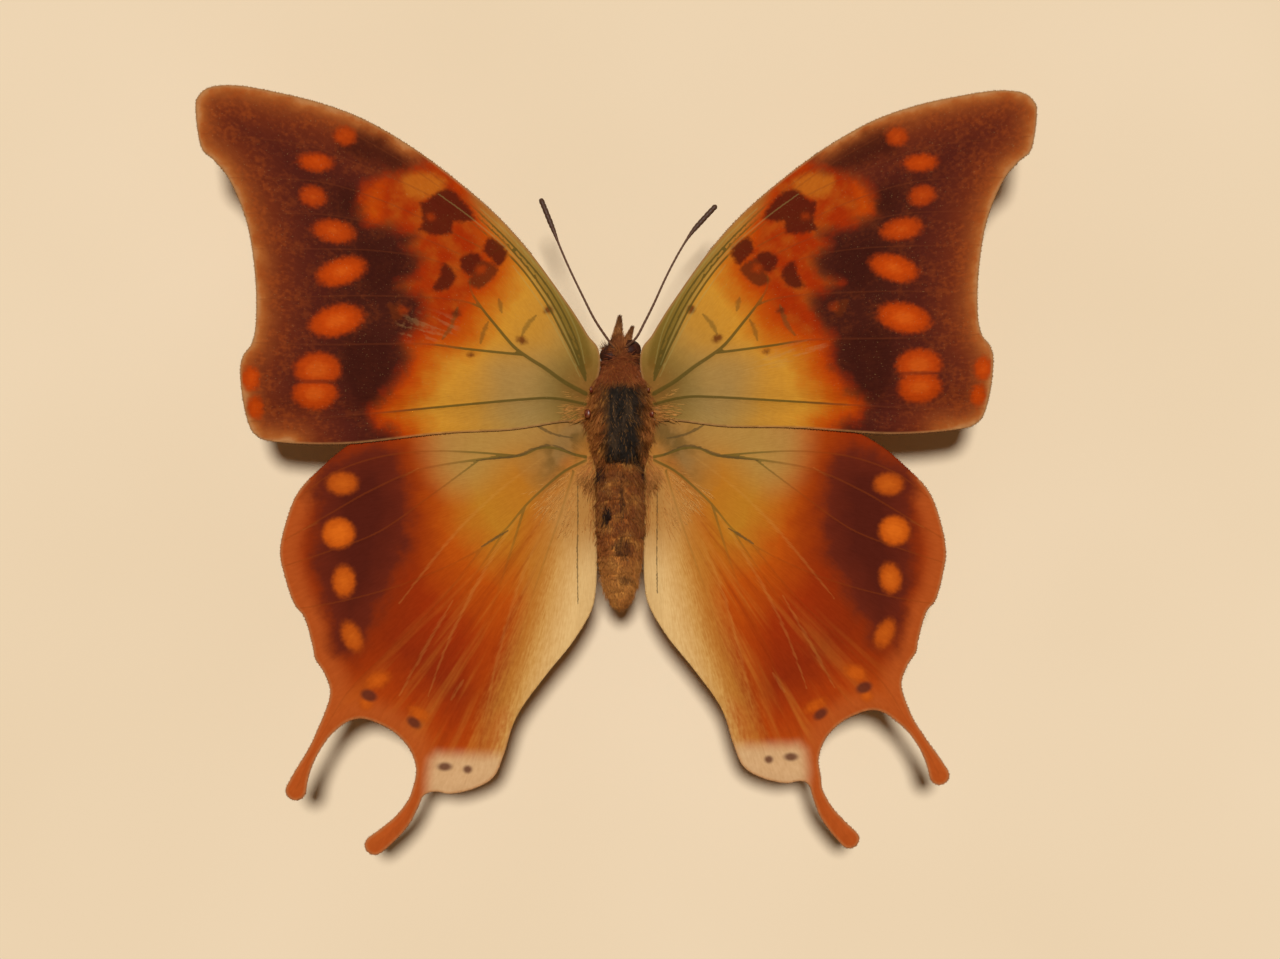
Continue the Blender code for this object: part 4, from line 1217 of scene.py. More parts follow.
@dataclass(frozen=True)
class ForewingColours:
    """Upper and lower colours of the forewing, read from the photo."""

    rise: tuple = (
        (0.0, "#A63004"), (0.08, "#BA4204"), (0.16, "#C25A0C"), (0.26, "#C9761C"), (0.38, "#D2922E"),
        (0.65, "#C48C34"), (1.0, "#B08A46"),
    )
    dark: tuple = (
        (0.0, "#C08450"), (0.05, "#B2662F"), (0.09, "#A05424"), (0.16, "#88401C"), (0.28, "#722F17"),
        (0.42, "#642817"), (0.6, "#562116"), (1.0, "#481D13"),
    )
    rubbed: str = "#A44C1A"
    spots: tuple = ((0.0, "#8E3008"), (0.35, "#B43E06"), (0.7, "#C84807"), (1.0, "#D65A12"))
    costal: tuple = (
        (0.0, "#84501E"), (0.15, "#72591F"), (0.32, "#7E6828"), (0.6, "#9C7A36"), (0.76, "#B17B34"),
        (0.87, "#AA6627"), (1.0, "#954F23"),
    )
    darkest: str = "#3E170F"
    marks: str = "#561C0D"
    brown: str = "#642A10"
    ochre: str = "#C16A1A"
    flush: str = "#A08450"
    vein: str = "#5E4E1E"
    vein_dark: str = "#7A3A1C"
    # Painted highlight along the raised costal veins
    painted_highlight: str = "#A89E5C"
    stroke: str = "#5E4A20"
    worn: str = "#B4925E"
    rim: str = "#B4804E"
    under: tuple = ((0.0, "#8A4A24"), (0.18, "#A0662F"), (0.5, "#B08246"), (1.0, "#B29A60"))
    under_dark: tuple = ((0.0, "#B58A5C"), (0.25, "#99683E"), (0.6, "#7C4A2A"), (1.0, "#6A3A22"))
    under_spot: str = "#C08848"
    under_mark: str = "#3C2418"


@dataclass(frozen=True)
class HindwingColours:
    """Upper and lower colours of the hindwing, read from the photo."""

    disc: tuple = (
        (0.09, "#9A7440"), (0.21, "#BE7822"), (0.32, "#BF7E22"), (0.45, "#BC520C"), (0.6, "#9E3108"),
        (0.74, "#8E2C0A"), (0.84, "#AA3C0A"), (0.95, "#B84E12"),
    )
    border: str = "#B85620"
    dark: tuple = ((0.0, "#7A2C10"), (0.35, "#682514"), (1.0, "#561E12"))
    spots: tuple = ((0.0, "#9A3E0C"), (0.5, "#C85A10"), (1.0, "#DC6A16"))
    near_dark: str = "#8E2E08"
    flush: str = "#B28F4D"
    streak: str = "#BC4E0C"
    ray: str = "#C8782A"
    pale: str = "#D59A4A"
    cream: tuple = ((0.0, "#C07C30"), (0.35, "#D29C52"), (1.0, "#E8C080"))
    cream_edge: str = "#C07C30"
    cream_root: str = "#C08A48"
    lobe: str = "#DEB684"
    dots: str = "#5A2A1E"
    rim: str = "#C08450"
    vein: str = "#665622"
    vein_outer: str = "#8A3E10"
    line: str = "#5E4A2A"
    smudge: str = "#6A5024"
    under: tuple = ((0.0, "#7C4826"), (0.3, "#976036"), (0.6, "#A87C46"), (1.0, "#B0965E"))
    under_dark: str = "#66381F"
    under_border: str = "#B58A5C"
    under_cream: str = "#D29C52"
    under_dot: str = "#6F7480"
    under_spot: str = "#C08848"
    under_mark: str = "#3C2418"


@dataclass(frozen=True)
class WingFinishes:
    """Builds the scales of the wings, as soft-edged fields over the distances that the mesh carries."""

    fore: ForewingColours = ForewingColours()
    hind: HindwingColours = HindwingColours()
    roughness: float = 0.78
    gloss: float = 0.03
    upper_relief: float = 0.035
    under_relief: float = 0.03
    blotch_size: float = 2.0
    fleck_size: float = 0.45
    grain_width: float = 0.16
    row_shades: tuple = ((0.0, "#F0EBE4"), (1.0, "#FFFFFF"))

    def started(self, name: str) -> tuple:
        """Starts a wing material with its patterns.

        Args:
            name: The material's name.

        Returns:
            The shader, and its noises of blotches, of small flecks and of fine radial grain.
        """
        shader = Shader(name)
        place = shader.vector("place")
        broad = shader.blotches(place, self.blotch_size, 3.0)
        flecks = shader.blotches(place, self.fleck_size)
        grain = shader.blotches(shader.vector("lie"), self.grain_width, stretch=(0.16, 1.0, 1.0))
        return shader, broad, flecks, grain

    def closed(self, shader: Shader, colour: object, flecks: object, grain: object,
               relief: float) -> bpy.types.Material:
        """Closes a wing material, its colour varied as rows of scales and rubbed places do.

        Args:
            shader: The material in the making.
            colour: Its colour so far.
            flecks: The noise of small flecks.
            grain: The noise of radial grain, which its relief follows too.
            relief: The relief's depth in millimetres.

        Returns:
            The material.
        """
        rows = shader.edge(grain, 0.25, 0.75, 0.6)
        shade = shader.combined("ADD", rows, shader.edge(flecks, 0.2, 0.8, 0.4))
        colour = shader.lay(colour, shader.shades(shade, 0.0, 1.0, self.row_shades), 1.0, blend="MULTIPLY")
        return shader.finish(colour, self.roughness, self.gloss, grain, relief)

    def forewing_upper(self) -> bpy.types.Material:
        """Velvet scales of the forewing's upper side, which scatter light and barely shine.

        Returns:
            The material: a yellow base with green veins, an orange field and a deep brown outer half.
        """
        colours = self.fore
        shader, broad, flecks, grain = self.started("scales_forewing_upper")
        dark, spots, marks = shader.attribute("field")
        green, flush, ochre = shader.attribute("tone")
        vein, margin, worn = shader.attribute("line")
        brown, darkest, strength = shader.attribute("extra")
        painted_highlights, strokes, _ = shader.attribute("fine")
        reach, _, _ = shader.attribute("lie")
        near, rim_gap, _ = shader.attribute("near")
        dark = shader.nudged(dark, (broad, 2.4), (flecks, 0.9))
        near = shader.nudged(near, (broad, 2.4), (flecks, 0.9))
        ground = shader.shades(near, 0.0, -13.0, colours.rise)
        glow = shader.edge(near, -2.5, 1.0, 0.42)
        ground = shader.lay(ground, colours.ochre, glow, shader.step(broad, 0.36, 0.76))
        ground = shader.lay(ground, colours.flush, flush, 0.6)
        ground = shader.lay(ground, shader.shades(reach, 0.0, 26.0, colours.costal), green, 0.9)
        ground = shader.painted(
            ground,
            (colours.ochre, ochre, -0.5, 0.6, 0.8, (flecks, 0.6)),
            (colours.stroke, strokes, -0.3, 0.7, 0.5, (flecks, 1.6)),
        )
        outer = shader.shades(shader.nudged(margin, (broad, 1.4)), 0.0, 10.0, colours.dark)
        mottle = shader.nudged(broad, (flecks, 0.9), (grain, 0.3))
        near_rim = shader.step(margin, 7.0, 0.8, 0.14, 0.5)
        outer = shader.lay(outer, colours.rubbed, shader.step(mottle, 0.4, 0.8), near_rim)
        outer = shader.painted(outer, (colours.darkest, darkest, -1.2, 0.9, 0.8, (broad, 1.6)))
        colour = shader.painted(
            ground,
            (outer, dark, -1.3, 1.0),
            (colours.marks, marks, -0.3, 0.3, 0.92, (flecks, 0.7)),
            (colours.brown, brown, -0.25, 0.25, 0.85, (flecks, 0.5)),
        )
        spots = shader.nudged(spots, (flecks, 0.5))
        spot_colour = shader.shades(spots, -0.5, 1.2, colours.spots)
        colour = shader.lay(colour, spot_colour, shader.step(spots, -0.45, 0.3), strength)
        vein_colour = shader.painted(colours.vein, (colours.vein_dark, dark, -6.0, -1.5))
        faded = shader.step(near, -3.5, 0.0, 0.85, 0.22)
        hidden = shader.step(marks, 0.1, -0.6, 0.1)
        colour = shader.lay(colour, vein_colour, shader.step(vein, -0.3, 0.3), faded, hidden)
        # Painted highlight: pale lines along the raised veins of the green costal strip
        colour = shader.painted(colour, (colours.painted_highlight, painted_highlights, -0.2, 0.5, 0.24))
        rows = shader.blotches(shader.vector("lie"), 0.5, 1.0, (0.12, 1.0, 1.0))
        colour = shader.lay(colour, colours.worn, worn, shader.edge(rows, 0.47, 0.66, 0.2, (flecks, 0.5)))
        dust = shader.blotches(shader.vector("place"), 0.16, 1.0)
        colour = shader.painted(
            colour, (colours.worn, dust, 0.7, 0.76, 0.25), (colours.rim, rim_gap, 0.3, 0.05, 0.7)
        )
        return self.closed(shader, colour, flecks, grain, self.upper_relief)

    def forewing_under(self) -> bpy.types.Material:
        """Duller scales of the forewing's underside.

        Returns:
            The material: an ochre base, a brown outer half and dark-edged bars.
        """
        colours = self.fore
        shader, broad, flecks, grain = self.started("scales_forewing_underside")
        dark, spots, marks = shader.attribute("field")
        green, _, _ = shader.attribute("tone")
        vein, margin, _ = shader.attribute("line")
        dark = shader.nudged(dark, (broad, 1.8))
        ground = shader.lay(shader.shades(dark, 0.0, -13.0, colours.under), colours.flush, green, 0.6)
        rim = shader.gap(shader.nudged(dark, (flecks, 0.3)), 0.0)
        bars = shader.gap(shader.nudged(marks, (flecks, 0.3)), 0.0)
        colour = shader.painted(
            ground,
            (shader.shades(margin, 0.0, 10.0, colours.under_dark), dark, -1.2, 0.8),
            (colours.under_mark, rim, 0.35, 0.05, 0.8),
            (colours.under_mark, bars, 0.3, 0.05, 0.85),
            (colours.under_spot, spots, -0.3, 0.6, 0.7),
            (colours.vein, vein, -0.3, 0.3, 0.7),
        )
        return self.closed(shader, colour, flecks, grain, self.under_relief)

    def hindwing_upper(self) -> bpy.types.Material:
        """Scales of the hindwing's upper side, which scatter light and barely shine.

        Returns:
            The material: an orange disc with rays, a dark outer patch and a cream inner fold.
        """
        colours = self.hind
        shader, broad, flecks, grain = self.started("scales_hindwing_upper")
        dark, spots, cream = shader.attribute("field")
        lobe, flush, fold = shader.attribute("tone")
        vein, margin, line = shader.attribute("line")
        dots, pale, strength = shader.attribute("extra")
        reach, bearing, _ = shader.attribute("lie")
        dark = shader.nudged(dark, (broad, 2.6), (flecks, 0.8))
        cream = shader.nudged(cream, (grain, 1.6), (flecks, 0.5))
        disc = shader.shades(shader.nudged(reach, (broad, 2.4)), 0.0, 38.0, colours.disc)
        disc = shader.painted(disc, (colours.near_dark, dark, -5.0, 0.0, 0.75))
        disc = shader.lay(disc, colours.streak, fold, 0.5)
        rays = shader.blotches(shader.vector("lie"), 0.8, stretch=(0.05, 1.0, 1.0))
        rear = shader.combined("MULTIPLY", shader.step(bearing, -12.0, -21.0), shader.step(reach, 5.0, 10.0))
        disc = shader.lay(disc, colours.ray, rear, shader.edge(rays, 0.5, 0.72, 0.45))
        disc = shader.lay(disc, colours.near_dark, rear, shader.edge(rays, 0.5, 0.3, 0.4))
        disc = shader.lay(disc, colours.flush, flush, 0.7)
        disc = shader.painted(disc, (colours.pale, pale, -0.3, 0.9, 0.14, (grain, 2.5)))
        smudged = shader.edge(reach, 7.5, 2.5, 0.7)
        disc = shader.lay(disc, colours.smudge, smudged, shader.step(broad, 0.42, 0.6))
        colour = shader.painted(
            disc,
            (colours.cream_edge, cream, -3.6, -0.5, 0.85),
            (colours.border, margin, 3.2, 0.8, 0.85, (flecks, 0.5)),
            (shader.shades(dark, -0.5, 3.5, colours.dark), dark, -1.6, 1.0),
        )
        spots = shader.nudged(spots, (flecks, 0.4))
        spot_colour = shader.shades(spots, -0.5, 1.0, colours.spots)
        colour = shader.lay(colour, spot_colour, shader.step(spots, -0.5, 0.25), strength)
        inner = shader.shades(cream, -1.0, 3.5, colours.cream)
        inner = shader.painted(inner, (colours.cream_root, reach, 13.0, 6.0))
        colour = shader.painted(colour, (inner, cream, -1.8, 1.2))
        colour = shader.lay(colour, colours.lobe, lobe, 0.9)
        colour = shader.painted(colour, (colours.dots, dots, -0.3, 0.15, 0.85))
        vein_colour = shader.painted(colours.vein, (colours.vein_outer, reach, 12.0, 18.0))
        faded = shader.step(reach, 9.0, 18.0, 1.0, 0.4)
        hidden = shader.step(bearing, -22.0, -8.0, 0.2, 0.8)
        colour = shader.lay(colour, vein_colour, shader.step(vein, -0.3, 0.3), faded, hidden)
        colour = shader.painted(
            colour, (colours.line, line, -0.1, 0.5, 0.7, (flecks, 2.6)), (colours.rim, margin, 0.4, 0.0, 0.55)
        )
        return self.closed(shader, colour, flecks, grain, self.upper_relief)

    def hindwing_under(self) -> bpy.types.Material:
        """Duller scales of the hindwing's underside.

        Returns:
            The material: ochre and brown, with a broad dark band and grey-blue dots.
        """
        colours = self.hind
        shader, broad, flecks, grain = self.started("scales_hindwing_underside")
        dark, spots, cream = shader.attribute("field")
        lobe, flush, _ = shader.attribute("tone")
        vein, margin, _ = shader.attribute("line")
        dots, _, _ = shader.attribute("extra")
        reach, _, _ = shader.attribute("lie")
        dark = shader.nudged(dark, (broad, 1.8))
        along = shader.nudged(reach, (broad, 2.0))
        band = shader.gap(along, 17.5)
        colour = shader.painted(
            shader.shades(shader.step(along, 34.0, 6.0), 0.0, 1.0, colours.under),
            (colours.under_dark, band, 3.2, 2.6, 0.7),
            (colours.under_mark, shader.gap(band, 2.9), 0.3, 0.05, 0.8),
            (colours.under_dark, dark, -0.8, 1.2, 0.5),
            (colours.under_spot, spots, -0.3, 0.5, 0.6),
            (colours.under_border, margin, 2.4, 1.2, 0.6),
            (colours.under_dot, dots, -0.3, 0.2, 0.85),
            (colours.under_cream, cream, -1.2, 2.0, 0.8),
        )
        colour = shader.lay(colour, colours.lobe, lobe, 0.5)
        colour = shader.painted(colour, (colours.vein, vein, -0.3, 0.3, 0.7))
        colour = shader.lay(colour, colours.flush, flush, 0.4)
        return self.closed(shader, colour, flecks, grain, self.under_relief)


# Body

TRUNK_FRONT = [
    (12.72, 0.5, 12.6, 11.5), (12.5, 0.8, 13.0, 11.1), (12.05, 0.98, 13.4, 10.8), (11.55, 1.02, 13.5, 10.7),
    (11.2, 1.3, 13.45, 10.75), (10.8, 1.72, 13.4, 10.75), (10.5, 1.95, 13.6, 10.5), (10.2, 2.08, 13.85, 10.2),
]
SKIN_DEPTH = 0.17
TRUNK_ENDS = (-15.6, 12.7)
NECK_FORE = 10.2
LEAST_HALF = 0.05


def trunk_profile(fore: np.ndarray) -> np.ndarray:
    """Sizes of the head, neck, thorax and abdomen along the body.

    Args:
        fore: Places along the body.

    Returns:
        A row of half width, height of the back and height of the underside for each place.
    """
    share = np.clip(-fore / ABDOMEN_LENGTH, 0.0, 1.0)
    filled = np.sin(np.minimum(share / 0.28, 1.0) * math.pi / 2)
    swell = (0.86 + 0.14 * filled) * (1 - 0.5 * (np.clip(share - 0.3, 0.0, None) / 0.7) ** 2.2)
    tip = np.sqrt(np.clip(1 - (np.clip(share - 0.84, 0.0, None) / 0.16) ** 2, 0.0, 1.0))
    between = np.abs((share * ABDOMEN_SEGMENTS) % 1.0 - 0.5) * 2
    groove = 0.055 * smooth(0.72, 1.0, between) * smooth(0.04, 0.1, share)
    girth = swell * tip * (1 - groove)
    middle = ABDOMEN_HEIGHT - ABDOMEN_DROOP * share ** 2
    height = ABDOMEN_HALF_HEIGHT * girth
    abdomen = np.stack([ABDOMEN_HALF_WIDTH * girth, middle + height, middle - height], -1)
    rows = spline([*TRUNK_FRONT, *THORAX[1:]], 0.1)[::-1]
    thorax = np.stack([np.interp(fore, rows[:, 0], rows[:, k]) for k in (1, 2, 3)], -1)
    sizes = abdomen + (thorax - abdomen) * smooth(-0.1, 0.5, fore)[:, None]
    waist = np.exp(-(((fore - 0.15) / 0.5) ** 2)) * 0.22
    return sizes + np.stack([-waist - SKIN_DEPTH, -waist - SKIN_DEPTH, waist + SKIN_DEPTH], -1)


@dataclass(frozen=True)
class CoatPlan:
    """One region's hair: where along the body it grows, how long it is and how it lies."""

    name: str
    reach: tuple
    count: int
    length: float
    width: float
    lift: float
    lie: tuple
    splay: float
    flank_length: float
    stripe: float
    seed: int


COATS = (
    CoatPlan("hair_abdomen", (-15.5, -0.6), 11500, 0.62, 0.034, 0.5, (0.0, -1.0, 0.0), 0.55, 0.75, 0.2, 210),
    CoatPlan("hair_waist", (-1.6, 1.4), 2600, 0.85, 0.034, 0.6, (0.0, -1.0, 0.0), 0.9, 1.0, 0.4, 220),
    CoatPlan("hair_thorax", (0.6, 9.4), 11500, 0.85, 0.036, 0.5, (0.0, -1.0, 0.1), 2.0, 2.0, 0.45, 230),
    CoatPlan("hair_collar", (8.2, 10.9), 5000, 0.75, 0.03, 0.6, (0.0, -0.8, 0.25), 0.7, 0.4, 0.2, 240),
    CoatPlan("hair_head", (10.7, 12.2), 3200, 0.6, 0.03, 0.6, (0.0, -0.3, 0.35), 4.5, 1.6, 0.0, 250),
    CoatPlan("hair_brow", (10.6, 12.2), 1500, 1.0, 0.034, 0.75, (0.0, 0.15, 0.2), 7.0, 0.8, 0.0, 270),
    CoatPlan("hair_face", (11.6, 12.68), 3000, 1.0, 0.03, 0.35, (0.0, 1.0, 0.2), -0.35, 0.0, -0.5, 260),
)


@dataclass
class Trunk:
    """The head, neck, thorax and abdomen under one skin, and the hair that grows from it."""

    step: float = 0.12
    sides: int = 72

    def __post_init__(self) -> None:
        """Lays out the skin's rings, from the tail tip to the face."""
        self.fores = np.arange(*TRUNK_ENDS, self.step)
        half, back, belly = np.maximum(trunk_profile(self.fores), (LEAST_HALF, 0.0, 0.0)).T[:, :, None]
        angles = np.linspace(0, 2 * math.pi, self.sides, endpoint=False)
        tall = np.maximum((back - belly) / 2, LEAST_HALF)
        rings = np.stack(np.broadcast_arrays(
            half * np.cos(angles), self.fores[:, None], (back + belly) / 2 + tall * np.sin(angles)
        ), -1)
        turn = HEAD_TURN * smooth(NECK_FORE, NECK_FORE + 1.0, self.fores)[:, None]
        x, y, z = np.moveaxis(rings - HEAD_AT, -1, 0)
        turned = np.stack([x * np.cos(turn) - y * np.sin(turn), x * np.sin(turn) + y * np.cos(turn), z], -1)
        rings = np.where((self.fores > NECK_FORE)[:, None, None], turned + HEAD_AT, rings)
        self.rings = rings + self.lumps(rings)
        around = np.roll(self.rings, -1, axis=1) - np.roll(self.rings, 1, axis=1)
        self.normals = -unit(np.cross(around, np.gradient(self.rings, axis=0)))
        outward = np.sum(self.normals * (self.rings - self.rings.mean(1, keepdims=True)), axis=-1).mean()
        self.normals *= np.sign(outward)

    @staticmethod
    def lumps(rings: np.ndarray) -> np.ndarray:
        """Slight unevenness of a dried body, and the seam down its back.

        Args:
            rings: The skin's points.

        Returns:
            How far each is moved.
        """
        x, y, z = rings[..., 0], rings[..., 1], rings[..., 2]
        sunk = 0.09 * np.sin(x * 2.1 + y * 1.3) * np.sin(y * 1.9 - z * 1.4) + 0.05 * np.sin(x * 4.3 - y * 3.1)
        seam = -0.16 * np.exp(-((x / 0.22) ** 2)) * smooth(12.5, 13.5, z)
        seam = seam * smooth(0.4, 2.0, y) * smooth(9.5, 8.0, y)
        return np.stack([sunk * 0.5, np.zeros_like(x), sunk * 0.6 + seam], -1)

    def skin(self, finish: bpy.types.Material) -> bpy.types.Object:
        """Builds the skin.

        Args:
            finish: Its material.

        Returns:
            The skin, unwrapped along and round the body.
        """
        shape = lathe(self.rings)
        count = len(self.rings)
        flat = np.stack(np.meshgrid(np.arange(self.sides), np.arange(count)), -1).reshape(-1, 2)
        uv = np.vstack([flat, [(self.sides / 2, 0), (self.sides / 2, count - 1)]]) / (self.sides, count)
        corner = uv[shape.faces]
        wraps = (corner[..., 0].max(1) - corner[..., 0].min(1) > 0.5)[:, None] & (corner[..., 0] < 0.5)
        corner[..., 0] += wraps
        shape.uv = corner.reshape(-1, 2) * 0.98
        return shape.object("body_skin", finish)

    def coat(self, plan: CoatPlan, finish: bpy.types.Material) -> bpy.types.Object:
        """Grows one region's hair.

        Args:
            plan: Where it grows and how it lies.
            finish: Its material.

        Returns:
            The hair, one joined mesh.
        """
        rng = random_rows(plan.seed)
        low, high = ((np.array(plan.reach) - self.fores[0]) / self.step).clip(0, len(self.fores) - 1.01)
        tries = plan.count * 5
        row, turn = rng.uniform(low, high, tries), rng.random(tries) * self.sides
        i, j = row.astype(int), turn.astype(int)
        size = np.linalg.norm(self.rings[i, (j + 1) % self.sides] - self.rings[i, j], axis=1)
        kept = np.flatnonzero(rng.random(tries) < size / size.max())[:plan.count]
        i, j, row, turn = i[kept], j[kept], row[kept], turn[kept]
        across, along, beside = (turn - j)[:, None], (row - i)[:, None], (j + 1) % self.sides
        near = self.rings[i, j] * (1 - across) + self.rings[i, beside] * across
        far = self.rings[i + 1, j] * (1 - across) + self.rings[i + 1, beside] * across
        roots = near * (1 - along) + far * along
        normals = self.normals[i, j]
        count = len(roots)
        flank = np.abs(normals[:, 0]) ** 2
        upper = smooth(-0.3, 0.3, normals[:, 2])
        lies = np.array(plan.lie) * np.ones((count, 1))
        lies[:, 0] += np.sign(normals[:, 0]) * plan.splay * flank
        lies += rng.normal(0, 0.2, (count, 3))
        lies[:, 0] += [0.9 * noise.noise(Vector(p) * 1.1) for p in roots]
        lengths = plan.length * rng.uniform(0.6, 1.25, count) * (1 + plan.flank_length * flank * upper)
        lengths *= 1 - plan.stripe * smooth(0.75, 0.95, normals[:, 2])
        return Tufts(
            roots, normals, lies, lengths, rng.uniform(0.7, 1.3, count) * plan.width,
            plan.lift * rng.uniform(0.5, 1.3, count) * (1 + 0.4 * flank),
            np.stack([turn / self.sides, row / len(self.fores)], -1) * 0.98, plan.seed + 1, 0.55, 3, 0.03,
        ).shape().object(plan.name, finish)

    def build(self, skin_finish: bpy.types.Material, hair_finish: bpy.types.Material) -> None:
        """Builds the skin and every region's hair.

        Args:
            skin_finish: The skin's material.
            hair_finish: The hair's material.
        """
        dress(self.skin(skin_finish), THORAX_SLOT, "thorax", "abdomen", "head")
        for plan in COATS:
            piece = self.coat(plan, hair_finish)
            dress(piece, "abdomen_hair" if "abdomen" in plan.name else THORAX_SLOT)


# Body finishes

@dataclass(frozen=True)
class BodyColours:
    """Colours of the body, read from the photo."""

    rust: str = "#AA6028"
    rust_light: str = "#D28E42"
    rust_dark: str = "#743E1A"
    collar: str = "#9A4E26"
    tuft: str = "#B8763C"
    tuft_root: str = "#8A4620"
    brow: str = "#4A2816"
    flank: str = "#DE9248"
    stripe: str = "#2C241C"
    stripe_light: str = "#4C3A28"
    stripe_edge: str = "#74491F"
    # Painted shade of the waist folds, and the dark patches and mottles of the hair
    dark_oval: str = "#1E120C"
    underside: str = "#A87444"
    # Tones of the locks, darkest where painted shade falls at their roots
    locks: tuple = ((0.0, "#BEB6AC"), (0.5, "#F0EAE2"), (1.0, "#FFFFFF"))
    silk: tuple = ((0.0, "#B06A30"), (0.4, "#CE8A40"), (1.0, "#DCA052"))
    silk_tip: str = "#E0A858"
    eye: str = "#34180E"
    eye_shine: str = "#4A2616"
    shaft: str = "#5C3A24"
    shaft_ring: str = "#7C5A3C"
    club: str = "#4A3020"
    limb: str = "#8A5228"
    limb_dark: str = "#4C2C18"
    palp: str = "#B4763C"


@dataclass(frozen=True)
class DarkOval:
    """A dark oval on the top of the body, seen from above: painted shade in a fold at the waist, or a dark
    patch in the hair.
    """

    at: tuple
    half: tuple
    share: float


# The first three are painted shade in the folds either side of the waist, where the abdomen meets the thorax;
# the rest are a dark patch, a thin stripe and mottles in the abdomen's hair
FOLD_SHADE_AND_DARK_MARKS = (
    DarkOval((2.5, 0.2), (1.2, 0.9), 1.0),
    DarkOval((2.9, -0.9), (1.1, 0.7), 1.0),
    DarkOval((-2.2, -0.8), (0.9, 0.8), 0.85),
    DarkOval((-1.35, -5.5), (0.55, 1.0), 0.95),
    DarkOval((0.3, -8.9), (1.0, 1.1), 0.6),
    DarkOval((0.2, -3.6), (0.25, 2.6), 0.55),
    DarkOval((0.5, -12.2), (0.9, 0.5), 0.45),
)


@dataclass(frozen=True)
class TwoTone:
    """A plain finish: two shades that pass into each other by blotches or lines of a real size."""

    name: str
    shade: str
    other: str
    size: float
    spread: tuple
    roughness: float
    specular: float
    relief: float
    stretch: tuple = (1.0, 1.0, 1.0)
    metallic: float = 0.0

    def build(self) -> bpy.types.Material:
        """Builds the material, its relief following the same pattern."""
        shader = Shader(self.name)
        pattern = shader.blotches(shader.vector("place"), self.size, stretch=self.stretch)
        colour = shader.painted(self.shade, (self.other, pattern, *self.spread))
        return shader.finish(colour, self.roughness, self.specular, pattern, self.relief, self.metallic)


# Dried red-brown plates at the wing hinge catch small highlights
SCLERITE = TwoTone("sclerite_hinge", "#5E1C0C", "#743E1A", 0.3, (0.4, 0.65), 0.35, 0.4, 0.03)
# Sprayed matt paint has a faint orange peel
STAND_PAINT = TwoTone("paint_base", "#CFC6B4", "#D6CDBB", 0.6, (0.3, 0.7), 0.6, 0.3, 0.01)
# Brushed steel, whose fine lines run round the rod from turning
ROD_STEEL = TwoTone(
    "steel_rod", "#A8A8AA", "#8C8C90", 0.12, (0.35, 0.65), 0.35, 0.5, 0.01, (0.1, 0.1, 1.0), 1.0,
)


